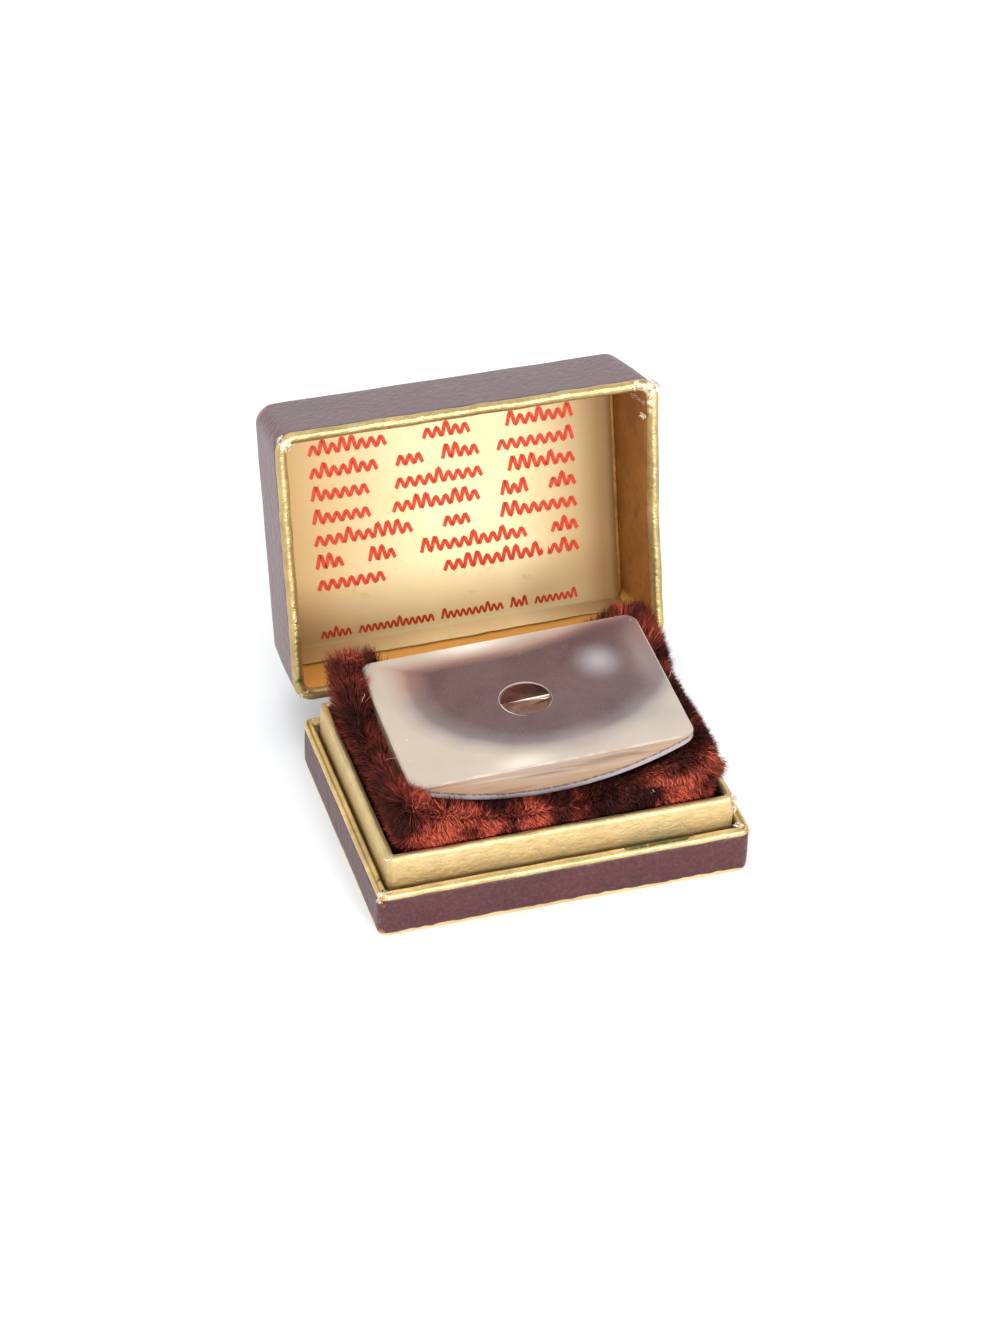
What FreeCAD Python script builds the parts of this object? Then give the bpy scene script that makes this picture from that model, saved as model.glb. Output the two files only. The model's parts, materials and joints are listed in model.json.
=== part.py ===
"""Hinged presentation case holding one rectangular ground-glass field lens.

Millimetres. X runs to the right, Y from the opening edge to the hinge, Z up.
The origin is the centre of the case's underside. The lid is written at its open stop.
"""
import FreeCAD, Part
import math
import os

# ---- case base: driving dimensions ----
CASE_W = 50.0            # outside width of the base
CASE_D = 38.0            # outside depth of the base
BASE_CORNER_R = 1.2      # plan corner of the base
FOOT_H = 0.6             # paper-covered board under the base
FOOT_INSET = 0.12        # how far the foot board stands inside the covering
FLOOR_H = 1.4            # card floor
RIM_Z = 6.7              # top of the gilt edge of the base
RIM_BEAD_H = 0.75        # height of the gilt edge
RIM_BEAD_R = 0.4         # rounding of the gilt edge
COVER_T = 0.25           # grained covering paper on the base
BASE_WALL_T = 1.0        # card wall of the base

# ---- inner neck of the base ----
NECK_Z = 10.8            # top of the neck
NECK_INSET_X = 1.65      # from the base's side to the neck's outside
NECK_INSET_Y = 2.1       # from the base's front or back to the neck's outside
NECK_CARD_T = 0.8
GILT_T = 0.15            # gilt paper
NECK_CORNER_R = 0.8
GILT_TURN_IN = 3.0       # how far the gilt paper goes down inside the neck

# ---- plush pad ----
PAD_W = 43.0
PAD_D = 30.6
PAD_CORNER_R = 2.0
PAD_TOP_Z = 17.9         # height of the pad's four corners
PAD_CARD_T = 0.9         # card under the pad
PLUSH_T = 1.3            # backing and pile together
PLUSH_FOOT_Z = 3.4       # lower edge of the plush on the pad's sides
SEAT_GAP = 0.3           # pile left between the pad's hollow and the glass

# ---- field lens ----
LENS_W = 38.0
LENS_D = 27.0
LENS_CORNER_R = 1.8
LENS_T = 7.1             # thickness at the centre
LENS_R = 46.0            # radius of the curved underside
LENS_TOP_Z = 19.15       # centre of the flat ground face
LENS_Y = 0.1
LENS_TILT = 2.3          # degrees, right side up
LENS_TURN = -0.95        # degrees, seen from above
LENS_BEVEL = 0.22        # bevel round the ground face
LENS_LIFT = 40.0         # travel that takes the lens clear of the case

# ---- split-image wedges in the middle of the ground face ----
SPOT_R = 3.45            # round recess
SPOT_DEPTH = 1.1
WEDGE_FIT = 0.03         # cement line round and between the wedges
WEDGE_LOW = 0.05         # high end of each wedge below the ground face
WEDGE_SLOPE = 4.0        # degrees

# ---- lid: driving dimensions, given for the closed lid ----
LID_W = 52.15            # outside width at the opening edge
LID_D = 38.0
LID_SHIFT = 0.5          # the lid sits this far to the right of the base
LID_H = 15.1
LID_DRAFT_X = 0.73       # each side leans in by this over the lid's height
LID_DRAFT_Y = 0.66
LID_CORNER_R = 2.6
LID_EDGE_R = 1.0         # rounding round the top panel
LID_GAP = 0.1            # between the two gilt edges when closed
LID_COVER_T = 0.2
LID_CARD_T = 0.78
LID_PANEL_T = 1.2        # card of the top panel
LINING_T = 0.12
LID_BEAD_T = 1.5         # gilt edge of the lid
LID_BEAD_H = 0.9
LID_BEAD_R = 0.62

# ---- notice card in the lid ----
CARD_W = 47.4
CARD_TOP_Y = -16.4       # opening-edge end of the card
CARD_TURN_UP = 4.4       # margin turned up against the hinge-side wall
CARD_T = 0.15

# ---- hinge ----
PIVOT_BACK = 1.3         # pin centre behind the base's back
PIVOT_UP = 0.5           # pin centre above the gilt edge of the base
OPEN_ANGLE = 104.27      # degrees from closed to the stop
BARREL_R = 0.95
PIN_R = 0.45
BORE_FIT = 0.03
PIN_HEAD_R = 0.75
PIN_HEAD_T = 0.35
KNUCKLE_W = 5.2
KNUCKLE_GAP = 0.1
KNUCKLES = 5
LEAF_T = 0.3
BASE_LEAF_LOW_Z = 2.6
LID_LEAF_H = 4.0         # height of the lid leaf on the lid's back
WEB_T = 0.4
STOP_GAP = 0.03
STOP_LUG_W = 2.4
TACK_HEAD_R = 0.5
TACK_SHANK_R = 0.22
TACK_LEN = 1.0
TACK_X = (-10.6, 0.0, 10.6)
BASE_TACK_Z = 4.1
LID_TACK_H = 3.0

# ---- derived ----
X_AXIS = FreeCAD.Vector(1, 0, 0)
Y_AXIS = FreeCAD.Vector(0, 1, 0)
Z_AXIS = FreeCAD.Vector(0, 0, 1)
HALF_W = CASE_W / 2
HALF_D = CASE_D / 2
FLOOR_TOP = FOOT_H + FLOOR_H
BEAD_LOW_Z = RIM_Z - RIM_BEAD_H
LID_Z0 = RIM_Z + LID_GAP
PIVOT = FreeCAD.Vector(0, HALF_D + PIVOT_BACK, RIM_Z + PIVOT_UP)
BORE_R = PIN_R + BORE_FIT
HINGE_LEN = KNUCKLES * KNUCKLE_W
CUT = 60.0               # larger than any part of the case


def vec(x, y, z):
    return FreeCAD.Vector(x, y, z)


def outline(cx, w, d, r, z):
    """A closed rounded rectangle at height z."""
    x0, x1, y0, y1 = cx - w / 2, cx + w / 2, -d / 2, d / 2
    k = r * (1 - math.sqrt(0.5))
    runs = [
        (vec(x0 + r, y0, z), vec(x1 - r, y0, z), vec(x1 - k, y0 + k, z), vec(x1, y0 + r, z)),
        (vec(x1, y0 + r, z), vec(x1, y1 - r, z), vec(x1 - k, y1 - k, z), vec(x1 - r, y1, z)),
        (vec(x1 - r, y1, z), vec(x0 + r, y1, z), vec(x0 + k, y1 - k, z), vec(x0, y1 - r, z)),
        (vec(x0, y1 - r, z), vec(x0, y0 + r, z), vec(x0 + k, y0 + k, z), vec(x0 + r, y0, z)),
    ]
    edges = []
    for start, turn, middle, end in runs:
        edges.append(Part.makeLine(start, turn))
        edges.append(Part.Arc(turn, middle, end).toShape())
    return Part.Wire(edges)


def block(w, d, r, z0, z1, cx=0.0):
    """An upright rounded block."""
    return Part.Face(outline(cx, w, d, r, z0)).extrude(vec(0, 0, z1 - z0))


def stack(sections, cx=0.0):
    """A solid through rounded rectangles (z, w, d, r), given from low to high."""
    wires = [outline(cx, w, d, r, z) for z, w, d, r in sections]
    return Part.makeLoft(wires, True, True)


def box(x0, x1, y0, y1, z0, z1):
    return Part.makeBox(x1 - x0, y1 - y0, z1 - z0, vec(x0, y0, z0))


def bead(w, d, r, thick, z_flat, z_round, rounding, cx=0.0):
    """A ring whose edge at z_round is rounded on its outside and inside."""
    way = 1 if z_round > z_flat else -1
    outer = [(z_flat, w, d, r)]
    inner = [(z_flat - way, w - 2 * thick, d - 2 * thick, max(r - thick, 0.3))]
    inner.append((z_round - way * rounding,) + inner[0][1:])
    for step in range(5):
        turn = math.radians(step * 22.5)
        z = z_round - way * rounding * (1 - math.sin(turn))
        inset = rounding * (1 - math.cos(turn))
        outer.append((z, w - 2 * inset, d - 2 * inset, r - inset))
        if step:
            hole_w, hole_d = w - 2 * thick + 2 * inset, d - 2 * thick + 2 * inset
            inner.append((z, hole_w, hole_d, max(r - thick, 0.3) + inset))
    inner.append((z_round + way,) + inner[-1][1:])
    if way < 0:
        outer.reverse()
        inner.reverse()
    return stack(outer, cx).cut(stack(inner, cx))


def split_walls(ring, y_cut):
    """A wall ring as four strips: front and back run across the corners."""
    front = ring.common(box(-CUT, CUT, -CUT, -y_cut, -CUT, CUT))
    back = ring.common(box(-CUT, CUT, y_cut, CUT, -CUT, CUT))
    left = ring.common(box(-CUT, 0, -y_cut, y_cut, -CUT, CUT))
    right = ring.common(box(0, CUT, -y_cut, y_cut, -CUT, CUT))
    return {"front": front, "back": back, "left": left, "right": right}


def rod_x(x0, x1, y, z, r):
    return Part.makeCylinder(r, x1 - x0, vec(x0, y, z), X_AXIS)


# ---- lid outline, closed, as a function of the height above the opening edge ----
def lid_w(h, inset=0.0):
    return LID_W - 2 * LID_DRAFT_X * h / LID_H - 2 * inset


def lid_d(h, inset=0.0):
    return LID_D - 2 * LID_DRAFT_Y * h / LID_H - 2 * inset


def lid_body(inset, low_h):
    """The lid's outside set in by inset, from low_h up, with its rounded top edge."""
    top_h = LID_H - inset
    r = LID_EDGE_R - inset
    corner = LID_CORNER_R - inset
    sections = [(LID_Z0 + low_h, lid_w(low_h, inset), lid_d(low_h, inset), corner)]
    for step in range(6):
        turn = math.radians(step * 18)
        h = top_h - r * (1 - math.sin(turn))
        side = inset + r * (1 - math.cos(turn))
        sections.append((LID_Z0 + h, lid_w(h, side), lid_d(h, side), corner))
    return stack(sections, LID_SHIFT)


def lid_room(inset, low_h, high_h):
    """The lid's drafted inside, set in by inset."""
    corner = max(LID_CORNER_R - inset, 0.4)
    sections = [(LID_Z0 + h, lid_w(h, inset), lid_d(h, inset), corner) for h in (low_h, high_h)]
    return stack(sections, LID_SHIFT)


def open_lid(shape):
    """From closed to the open stop."""
    turned = shape.copy()
    turned.rotate(PIVOT, X_AXIS, -OPEN_ANGLE)
    return turned


def place_lens(shape):
    """From the lens's own frame, with its ground face at z = 0, to its seat."""
    placed = shape.copy()
    placed.rotate(vec(0, 0, 0), Y_AXIS, -LENS_TILT)
    placed.rotate(vec(0, 0, 0), Z_AXIS, LENS_TURN)
    placed.translate(vec(0, LENS_Y, LENS_TOP_Z))
    return placed


def make_base():
    nodes = {}
    foot_w, foot_d = CASE_W - 2 * FOOT_INSET, CASE_D - 2 * FOOT_INSET
    nodes["foot_board"] = block(foot_w, foot_d, BASE_CORNER_R, 0, FOOT_H)
    card_w, card_d = CASE_W - 2 * COVER_T, CASE_D - 2 * COVER_T
    card_r = BASE_CORNER_R - COVER_T
    nodes["base_floor"] = block(card_w, card_d, card_r, FOOT_H, FLOOR_TOP)
    room_w, room_d = card_w - 2 * BASE_WALL_T, card_d - 2 * BASE_WALL_T
    ring = block(card_w, card_d, card_r, FLOOR_TOP, BEAD_LOW_Z)
    ring = ring.cut(block(room_w, room_d, 0.4, FLOOR_TOP - 1, RIM_Z))
    for side, wall in split_walls(ring, card_d / 2 - BASE_WALL_T).items():
        nodes["base_wall_" + side] = wall
    cover = block(CASE_W, CASE_D, BASE_CORNER_R, FOOT_H, BEAD_LOW_Z)
    nodes["base_covering"] = cover.cut(block(card_w, card_d, card_r, 0, RIM_Z))
    nodes["base_gilt_edge"] = bead(
        CASE_W, CASE_D, BASE_CORNER_R, COVER_T + BASE_WALL_T, BEAD_LOW_Z, RIM_Z, RIM_BEAD_R
    )
    return nodes


def make_neck():
    nodes = {}
    out_w, out_d = CASE_W - 2 * NECK_INSET_X, CASE_D - 2 * NECK_INSET_Y
    in_t = 2 * GILT_T + NECK_CARD_T
    outer = block(out_w, out_d, NECK_CORNER_R, FLOOR_TOP, NECK_Z)
    card_w, card_d = out_w - 2 * GILT_T, out_d - 2 * GILT_T
    card = block(card_w, card_d, NECK_CORNER_R - GILT_T, FLOOR_TOP, NECK_Z - GILT_T)
    inner_w, inner_d = card_w - 2 * NECK_CARD_T, card_d - 2 * NECK_CARD_T
    room = block(inner_w, inner_d, 0.4, 0, NECK_Z + 1)
    ring = card.cut(room)
    for side, wall in split_walls(ring, card_d / 2 - NECK_CARD_T).items():
        nodes["neck_" + side] = wall
    gilt = outer.cut(block(out_w - 2 * in_t, out_d - 2 * in_t, 0.4, 0, NECK_Z + 1))
    below = block(inner_w, inner_d, 0.4, 0, NECK_Z - GILT_TURN_IN)
    nodes["neck_gilt_paper"] = gilt.cut(card).cut(below)
    return nodes


def seat_ball(grow):
    """The curved underside's sphere, grown by a distance, in its seat."""
    centre = vec(0, 0, LENS_R - LENS_T)
    return place_lens(Part.makeSphere(LENS_R + grow, centre))


def make_pad():
    nodes = {}
    core_low = FLOOR_TOP + PAD_CARD_T
    core_w, core_d = PAD_W - 2 * PLUSH_T, PAD_D - 2 * PLUSH_T
    nodes["pad_card"] = block(core_w, core_d, PAD_CORNER_R, FLOOR_TOP, core_low)
    core = block(core_w, core_d, PAD_CORNER_R - 0.7, core_low, PAD_TOP_Z)
    core = core.cut(seat_ball(SEAT_GAP + PLUSH_T))
    nodes["pad_core"] = core
    plush = block(PAD_W, PAD_D, PAD_CORNER_R, PLUSH_FOOT_Z, PAD_TOP_Z)
    plush = plush.cut(seat_ball(SEAT_GAP))
    nodes["plush_cover"] = plush.cut(core)
    return nodes


def make_lens():
    nodes = {}
    glass = block(LENS_W, LENS_D, LENS_CORNER_R, -LENS_T, 0)
    rim = [e for e in glass.Edges if e.BoundBox.ZMin > -0.001]
    glass = glass.makeChamfer(LENS_BEVEL, rim)
    glass = glass.common(Part.makeSphere(LENS_R, vec(0, 0, LENS_R - LENS_T)))
    recess = Part.makeCylinder(SPOT_R, SPOT_DEPTH + 1, vec(0, 0, -SPOT_DEPTH))
    nodes["field_lens"] = place_lens(glass.cut(recess))
    for name, way in (("wedge_front", -1), ("wedge_back", 1)):
        plug = Part.makeCylinder(SPOT_R - WEDGE_FIT, SPOT_DEPTH, vec(0, 0, -SPOT_DEPTH))
        y_near, y_far = sorted((way * WEDGE_FIT / 2, way * CUT))
        half = plug.common(box(-CUT, CUT, y_near, y_far, -CUT, CUT))
        slab = box(-CUT, CUT, -CUT, CUT, 0, CUT)
        slab.rotate(vec(-way * SPOT_R, 0, 0), Y_AXIS, way * WEDGE_SLOPE)
        slab.translate(vec(0, 0, -WEDGE_LOW))
        nodes[name] = place_lens(half.cut(slab))
    return nodes


def make_lid():
    nodes = {}
    covering_low = LID_BEAD_H
    card_t = LID_COVER_T + LID_CARD_T
    panel_low = LID_H - LID_COVER_T - LID_PANEL_T
    inside = lid_body(LID_COVER_T, -1.0)
    below = box(-CUT, CUT, -CUT, CUT, -CUT, LID_Z0 + covering_low)
    covering = lid_body(0.0, covering_low).cut(inside)
    nodes["lid_covering"] = covering
    card = inside.cut(below)
    panel = card.common(box(-CUT, CUT, -CUT, CUT, LID_Z0 + panel_low, CUT))
    nodes["lid_panel"] = panel
    ring = card.cut(panel).cut(lid_room(card_t, -1.0, LID_H + 1))
    for side, wall in split_walls(ring, lid_d(0) / 2 - LID_CORNER_R - 0.4).items():
        nodes["lid_wall_" + side] = wall
    lining_low = panel_low - LINING_T
    paper = lid_room(card_t, covering_low, lining_low)
    nodes["lid_wall_lining"] = paper.cut(lid_room(card_t + LINING_T, -1.0, LID_H + 1))
    nodes["lid_panel_lining"] = lid_room(card_t, lining_low, panel_low)
    nodes["lid_gilt_edge"] = bead(
        LID_W, LID_D, LID_CORNER_R, LID_BEAD_T, LID_Z0 + covering_low, LID_Z0, LID_BEAD_R, LID_SHIFT
    )
    nodes["lid_notice_card"] = notice_card(lining_low, card_t + LINING_T)
    return nodes


def notice_card(top_h, inset):
    """A card on the lid's lining whose hinge-side margin turns up against the wall."""
    low_h = top_h - CARD_TURN_UP
    back_low = lid_d(low_h, inset) / 2
    back_top = lid_d(top_h, inset) / 2
    z_top, z_low = LID_Z0 + top_h, LID_Z0 + low_h
    side = [
        vec(0, CARD_TOP_Y, z_top),
        vec(0, back_top, z_top),
        vec(0, back_low, z_low),
        vec(0, back_low - CARD_T, z_low),
        vec(0, back_top - CARD_T, z_top - CARD_T),
        vec(0, CARD_TOP_Y, z_top - CARD_T),
    ]
    face = Part.Face(Part.makePolygon(side + side[:1]))
    face.translate(vec(LID_SHIFT - CARD_W / 2, 0, 0))
    card = face.extrude(vec(CARD_W, 0, 0))
    return card.common(lid_room(inset, 0.0, LID_H))


def knuckle_spans(kind):
    """X ranges of the base's (kind 0) or the lid's (kind 1) knuckles."""
    spans = []
    for i in range(KNUCKLES):
        if i % 2 == kind:
            x0 = -HINGE_LEN / 2 + i * KNUCKLE_W
            spans.append((x0 + KNUCKLE_GAP / 2, x0 + KNUCKLE_W - KNUCKLE_GAP / 2))
    return spans


def tack(x, y, z, tilt):
    """A domed tack driven in along -Y; tilt turns it about X at its head."""
    dome_r = TACK_HEAD_R * 1.5
    dome = Part.makeSphere(dome_r, vec(x, y + TACK_HEAD_R * 0.55 - dome_r, z))
    dome = dome.common(box(-CUT, CUT, y, CUT, -CUT, CUT))
    shank = Part.makeCylinder(TACK_SHANK_R, TACK_LEN, vec(x, y - TACK_LEN, z), Y_AXIS)
    nail = dome.fuse(shank).removeSplitter()
    nail.rotate(vec(x, y, z), X_AXIS, tilt)
    return nail


def make_hinge(parts):
    """Both leaves, the pin and the tacks; the tacks' holes are cut from their neighbours."""
    nodes = {}
    py, pz = PIVOT.y, PIVOT.z
    plate_top = pz - BARREL_R + 0.15
    plate = box(-HINGE_LEN / 2, HINGE_LEN / 2, HALF_D, HALF_D + LEAF_T, BASE_LEAF_LOW_Z, plate_top)
    for x0, x1 in knuckle_spans(0):
        web = box(x0, x1, HALF_D, py, pz - BARREL_R, pz - BARREL_R + WEB_T)
        plate = plate.fuse(web).fuse(rod_x(x0, x1, py, pz, BARREL_R))
    bore = rod_x(-CUT, CUT, py, pz, BORE_R)
    plate = plate.cut(bore).removeSplitter()

    low_h, high_h = pz - LID_Z0 + BARREL_R - WEB_T, pz - LID_Z0 + LID_LEAF_H
    side = []
    for h, out in ((low_h, 0.0), (high_h, 0.0), (high_h, LEAF_T), (low_h, LEAF_T)):
        side.append(vec(-HINGE_LEN / 2, lid_d(h) / 2 + out, LID_Z0 + h))
    leaf = Part.Face(Part.makePolygon(side + side[:1])).extrude(vec(HINGE_LEN, 0, 0))
    for x0, x1 in knuckle_spans(1):
        web_y = lid_d(low_h + WEB_T) / 2 + 0.02
        web = box(x0, x1, web_y, py, pz + BARREL_R - WEB_T, pz + BARREL_R)
        leaf = leaf.fuse(web).fuse(rod_x(x0, x1, py, pz, BARREL_R))
        middle = (x0 + x1) / 2
        lug_y = HALF_D + LEAF_T + STOP_GAP
        lug = box(middle - STOP_LUG_W / 2, middle + STOP_LUG_W / 2, lug_y, py - 0.4, pz - 1.35, pz - 0.6)
        lug.rotate(PIVOT, X_AXIS, OPEN_ANGLE)
        leaf = leaf.fuse(lug)
    leaf = leaf.cut(bore).removeSplitter()

    end = HINGE_LEN / 2
    pin = rod_x(-end - PIN_HEAD_T, end + PIN_HEAD_T, py, pz, PIN_R)
    for x0 in (-end - PIN_HEAD_T, end):
        pin = pin.fuse(rod_x(x0, x0 + PIN_HEAD_T, py, pz, PIN_HEAD_R))
    nodes["hinge_pin"] = pin.removeSplitter()

    base_tacks = [tack(x, HALF_D + LEAF_T, BASE_TACK_Z, 0.0) for x in TACK_X]
    lean = math.degrees(math.atan(LID_DRAFT_Y / LID_H))
    tack_y = lid_d(LID_TACK_H) / 2 + LEAF_T
    lid_tacks = [tack(x, tack_y, LID_Z0 + LID_TACK_H, lean) for x in TACK_X]
    for nail in base_tacks:
        plate = plate.cut(nail)
        for name in ("base_covering", "base_wall_back"):
            parts[name] = parts[name].cut(nail)
    for nail in lid_tacks:
        leaf = leaf.cut(nail)
        for name in ("lid_covering", "lid_wall_back"):
            parts[name] = parts[name].cut(nail)
    nodes["hinge_leaf_base"] = plate
    nodes["hinge_leaf_lid"] = leaf
    nodes["hinge_tacks_base"] = Part.makeCompound(base_tacks)
    nodes["hinge_tacks_lid"] = Part.makeCompound(lid_tacks)
    return nodes


def main():
    parts = {}
    for maker in (make_base, make_neck, make_pad, make_lens, make_lid):
        parts.update(maker())
    parts.update(make_hinge(parts))
    os.makedirs("parts", exist_ok=True)
    for name, shape in parts.items():
        if name.startswith("lid_") or name.endswith("_lid"):
            shape = open_lid(shape)
        if len(shape.Solids) == 1:
            shape = shape.Solids[0]
        shape.exportStep("parts/" + name + ".step")


main()
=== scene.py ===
"""A small hinged presentation case, lid open, with a rectangular field lens on a plush pad.

Shapes are given in millimetres in the CAD's own frame and written to Blender in metres.
"""
import json
import math

import bmesh
import bpy
import numpy as np
from mathutils import Matrix, Vector


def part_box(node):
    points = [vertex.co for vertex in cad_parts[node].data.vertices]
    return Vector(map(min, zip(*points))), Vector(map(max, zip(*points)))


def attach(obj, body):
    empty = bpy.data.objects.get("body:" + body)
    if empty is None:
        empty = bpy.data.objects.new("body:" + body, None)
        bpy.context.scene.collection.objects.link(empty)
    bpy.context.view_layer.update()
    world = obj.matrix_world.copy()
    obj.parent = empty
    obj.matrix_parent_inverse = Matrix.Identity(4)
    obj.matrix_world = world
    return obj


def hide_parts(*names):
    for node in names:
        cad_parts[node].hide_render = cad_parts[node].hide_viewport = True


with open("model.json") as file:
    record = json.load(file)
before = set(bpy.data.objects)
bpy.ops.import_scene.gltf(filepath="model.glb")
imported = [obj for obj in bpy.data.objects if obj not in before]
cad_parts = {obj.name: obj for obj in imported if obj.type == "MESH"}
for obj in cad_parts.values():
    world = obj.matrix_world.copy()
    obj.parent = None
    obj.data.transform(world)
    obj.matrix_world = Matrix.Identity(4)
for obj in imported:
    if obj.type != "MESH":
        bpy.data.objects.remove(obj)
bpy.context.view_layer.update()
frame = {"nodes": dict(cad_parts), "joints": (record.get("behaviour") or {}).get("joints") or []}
MM = 0.001
NODES = frame["nodes"]
JOINTS = {j["name"]: j for j in frame["joints"]}
scene = bpy.context.scene
scene.view_settings.view_transform = "Standard"
scene.view_settings.look = "None"
scene.view_settings.exposure = 0.0
scene.view_settings.gamma = 1.0


# ------------------------------------------------------------------ camera and light
CAM_POS = np.array([-129.86, -391.20, 339.00])
CAM_AZ, CAM_EL, CAM_ROLL = (math.radians(a) for a in (-17.884, 37.265, 1.441))
CAM_LENS = 109.55618  # mm on a 36 mm frame


def make_camera():
    back = np.array([
        math.sin(CAM_AZ) * math.cos(CAM_EL),
        -math.cos(CAM_AZ) * math.cos(CAM_EL),
        math.sin(CAM_EL),
    ])
    flat = np.array([math.cos(CAM_AZ), math.sin(CAM_AZ), 0.0])
    rise = np.cross(back, flat)
    right = math.cos(CAM_ROLL) * flat + math.sin(CAM_ROLL) * rise
    up = -math.sin(CAM_ROLL) * flat + math.cos(CAM_ROLL) * rise
    data = bpy.data.cameras.new("camera")
    data.sensor_width = 36.0
    data.lens = CAM_LENS
    data.clip_start, data.clip_end = 0.02, 20.0
    cam = bpy.data.objects.new("camera", data)
    scene.collection.objects.link(cam)
    pos = CAM_POS * MM
    cam.matrix_world = Matrix([
        (right[0], up[0], back[0], pos[0]),
        (right[1], up[1], back[1], pos[1]),
        (right[2], up[2], back[2], pos[2]),
        (0, 0, 0, 1),
    ])
    scene.camera = cam


def area_light(name, pos, aim, size, power):
    data = bpy.data.lights.new(name, "AREA")
    data.shape = "RECTANGLE"
    data.size, data.size_y = size
    data.energy = power
    ob = bpy.data.objects.new(name, data)
    scene.collection.objects.link(ob)
    ob.location = pos
    ob.rotation_euler = (Vector(aim) - Vector(pos)).to_track_quat("-Z", "Y").to_euler()


def make_stage():
    world = bpy.data.worlds.new("studio")
    world.use_nodes = True
    sky = world.node_tree.nodes["Background"].inputs
    sky["Color"].default_value = (0.97, 0.985, 1.0, 1)
    sky["Strength"].default_value = 0.9
    scene.world = world
    mesh = bpy.data.meshes.new("floor")
    half = 1.6
    corners = [(-half, -half, 0), (half, -half, 0), (half, half, 0), (-half, half, 0)]
    mesh.from_pydata(corners, [], [(0, 1, 2, 3)])
    floor = bpy.data.objects.new("floor", mesh)
    scene.collection.objects.link(floor)
    mat = bpy.data.materials.new("floor_paper")
    mat.use_nodes = True
    p = mat.node_tree.nodes["Principled BSDF"]
    p.inputs["Base Color"].default_value = (0.93, 0.945, 0.95, 1)
    p.inputs["Roughness"].default_value = 0.9
    p.inputs["Specular IOR Level"].default_value = 0.1
    mesh.materials.append(mat)
    area_light("top_softbox", (-0.10, 0.05, 0.70), (0, 0.01, 0), (0.55, 0.45), 1.3)
    area_light("left_softbox", (-0.65, -0.10, 0.30), (0, 0, 0.02), (0.35, 0.4), 1.2)
    area_light("back_softbox", (0.10, 0.75, 0.35), (0, 0, 0.02), (0.8, 0.4), 1.0)
    area_light("front_softbox", (0.14, -0.66, 0.22), (0, 0, 0.03), (0.40, 0.25), 4.3)


make_camera()
make_stage()


# ------------------------------------------------------------------ mesh helpers
def lattice_noise(points, size, seed=0):
    """Smooth noise from -1 to 1 at points (n, 3); size is the lattice pitch."""
    p = np.asarray(points, float) / size + 1000.0
    cell = np.floor(p).astype(np.int64)
    t = p - cell
    t = t * t * (3 - 2 * t)
    total = np.zeros(len(p))
    for corner in range(8):
        bits = np.array([(corner >> k) & 1 for k in range(3)])
        c = cell + bits
        h = (c[:, 0] * 73856093) ^ (c[:, 1] * 19349663) ^ (c[:, 2] * 83492791) ^ (seed * 2654435761)
        h = (h ^ (h >> 13)) * 1274126177
        value = ((h ^ (h >> 16)) & 0xFFFF) / 32767.5 - 1
        total += value * np.prod(np.where(bits, t, 1 - t), axis=1)
    return total


def build(name, verts, faces, materials, body, smooth=True, face_slots=None, attrs=None):
    """A mesh object in the row frame; verts in mm. faces is a list of index tuples or an (n, k) array."""
    mesh = bpy.data.meshes.new(name)
    verts = np.asarray(verts, float) * MM
    if isinstance(faces, np.ndarray):
        n, k = faces.shape
        mesh.vertices.add(len(verts))
        mesh.vertices.foreach_set("co", verts.ravel())
        mesh.loops.add(n * k)
        mesh.loops.foreach_set("vertex_index", faces.ravel())
        mesh.polygons.add(n)
        mesh.polygons.foreach_set("loop_start", np.arange(n) * k)
    else:
        mesh.from_pydata([tuple(v) for v in verts], [], [tuple(f) for f in faces])
    mesh.update(calc_edges=True)
    mesh.validate()
    for key, values in (attrs or {}).items():
        layer = mesh.attributes.new(key, "FLOAT", "POINT")
        layer.data.foreach_set("value", np.asarray(values, np.float32))
    for mat in materials if isinstance(materials, (list, tuple)) else [materials]:
        mesh.materials.append(mat)
    if face_slots is not None:
        mesh.polygons.foreach_set("material_index", np.asarray(face_slots, np.int32))
    mesh.polygons.foreach_set("use_smooth", [smooth] * len(mesh.polygons))
    ob = bpy.data.objects.new(name, mesh)
    scene.collection.objects.link(ob)
    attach(ob, body)
    return ob


def outline(cx, w, d, r, step=0.5, arc=10):
    """Points and outward normals round a rounded rectangle, counter-clockwise from the front left."""
    pts, nrm = [], []
    corners = [
        (cx + w / 2 - r, -d / 2 + r, -90), (cx + w / 2 - r, d / 2 - r, 0),
        (cx - w / 2 + r, d / 2 - r, 90), (cx - w / 2 + r, -d / 2 + r, 180),
    ]
    for i, (ax, ay, start) in enumerate(corners):
        px, py = corners[i - 1][0], corners[i - 1][1]
        n = (math.cos(math.radians(start)), math.sin(math.radians(start)))
        run = math.hypot(ax - px, ay - py)
        count = max(2, int(run / step))
        for k in range(1, count):
            t = k / count
            pts.append((px + (ax - px) * t + r * n[0], py + (ay - py) * t + r * n[1]))
            nrm.append(n)
        for k in range(arc + 1):
            a = math.radians(start + 90 * k / arc)
            pts.append((ax + r * math.cos(a), ay + r * math.sin(a)))
            nrm.append((math.cos(a), math.sin(a)))
    return np.array(pts), np.array(nrm)


def ring_quads(n, j, k):
    """Quads between ring j and ring k of a stack of rings of n points."""
    return [(j * n + i, j * n + (i + 1) % n, k * n + (i + 1) % n, k * n + i) for i in range(n)]


def fan(start, n, hub):
    """Triangles from n points in a ring to a hub."""
    return [(start + i, start + (i + 1) % n, hub) for i in range(n)]


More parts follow.
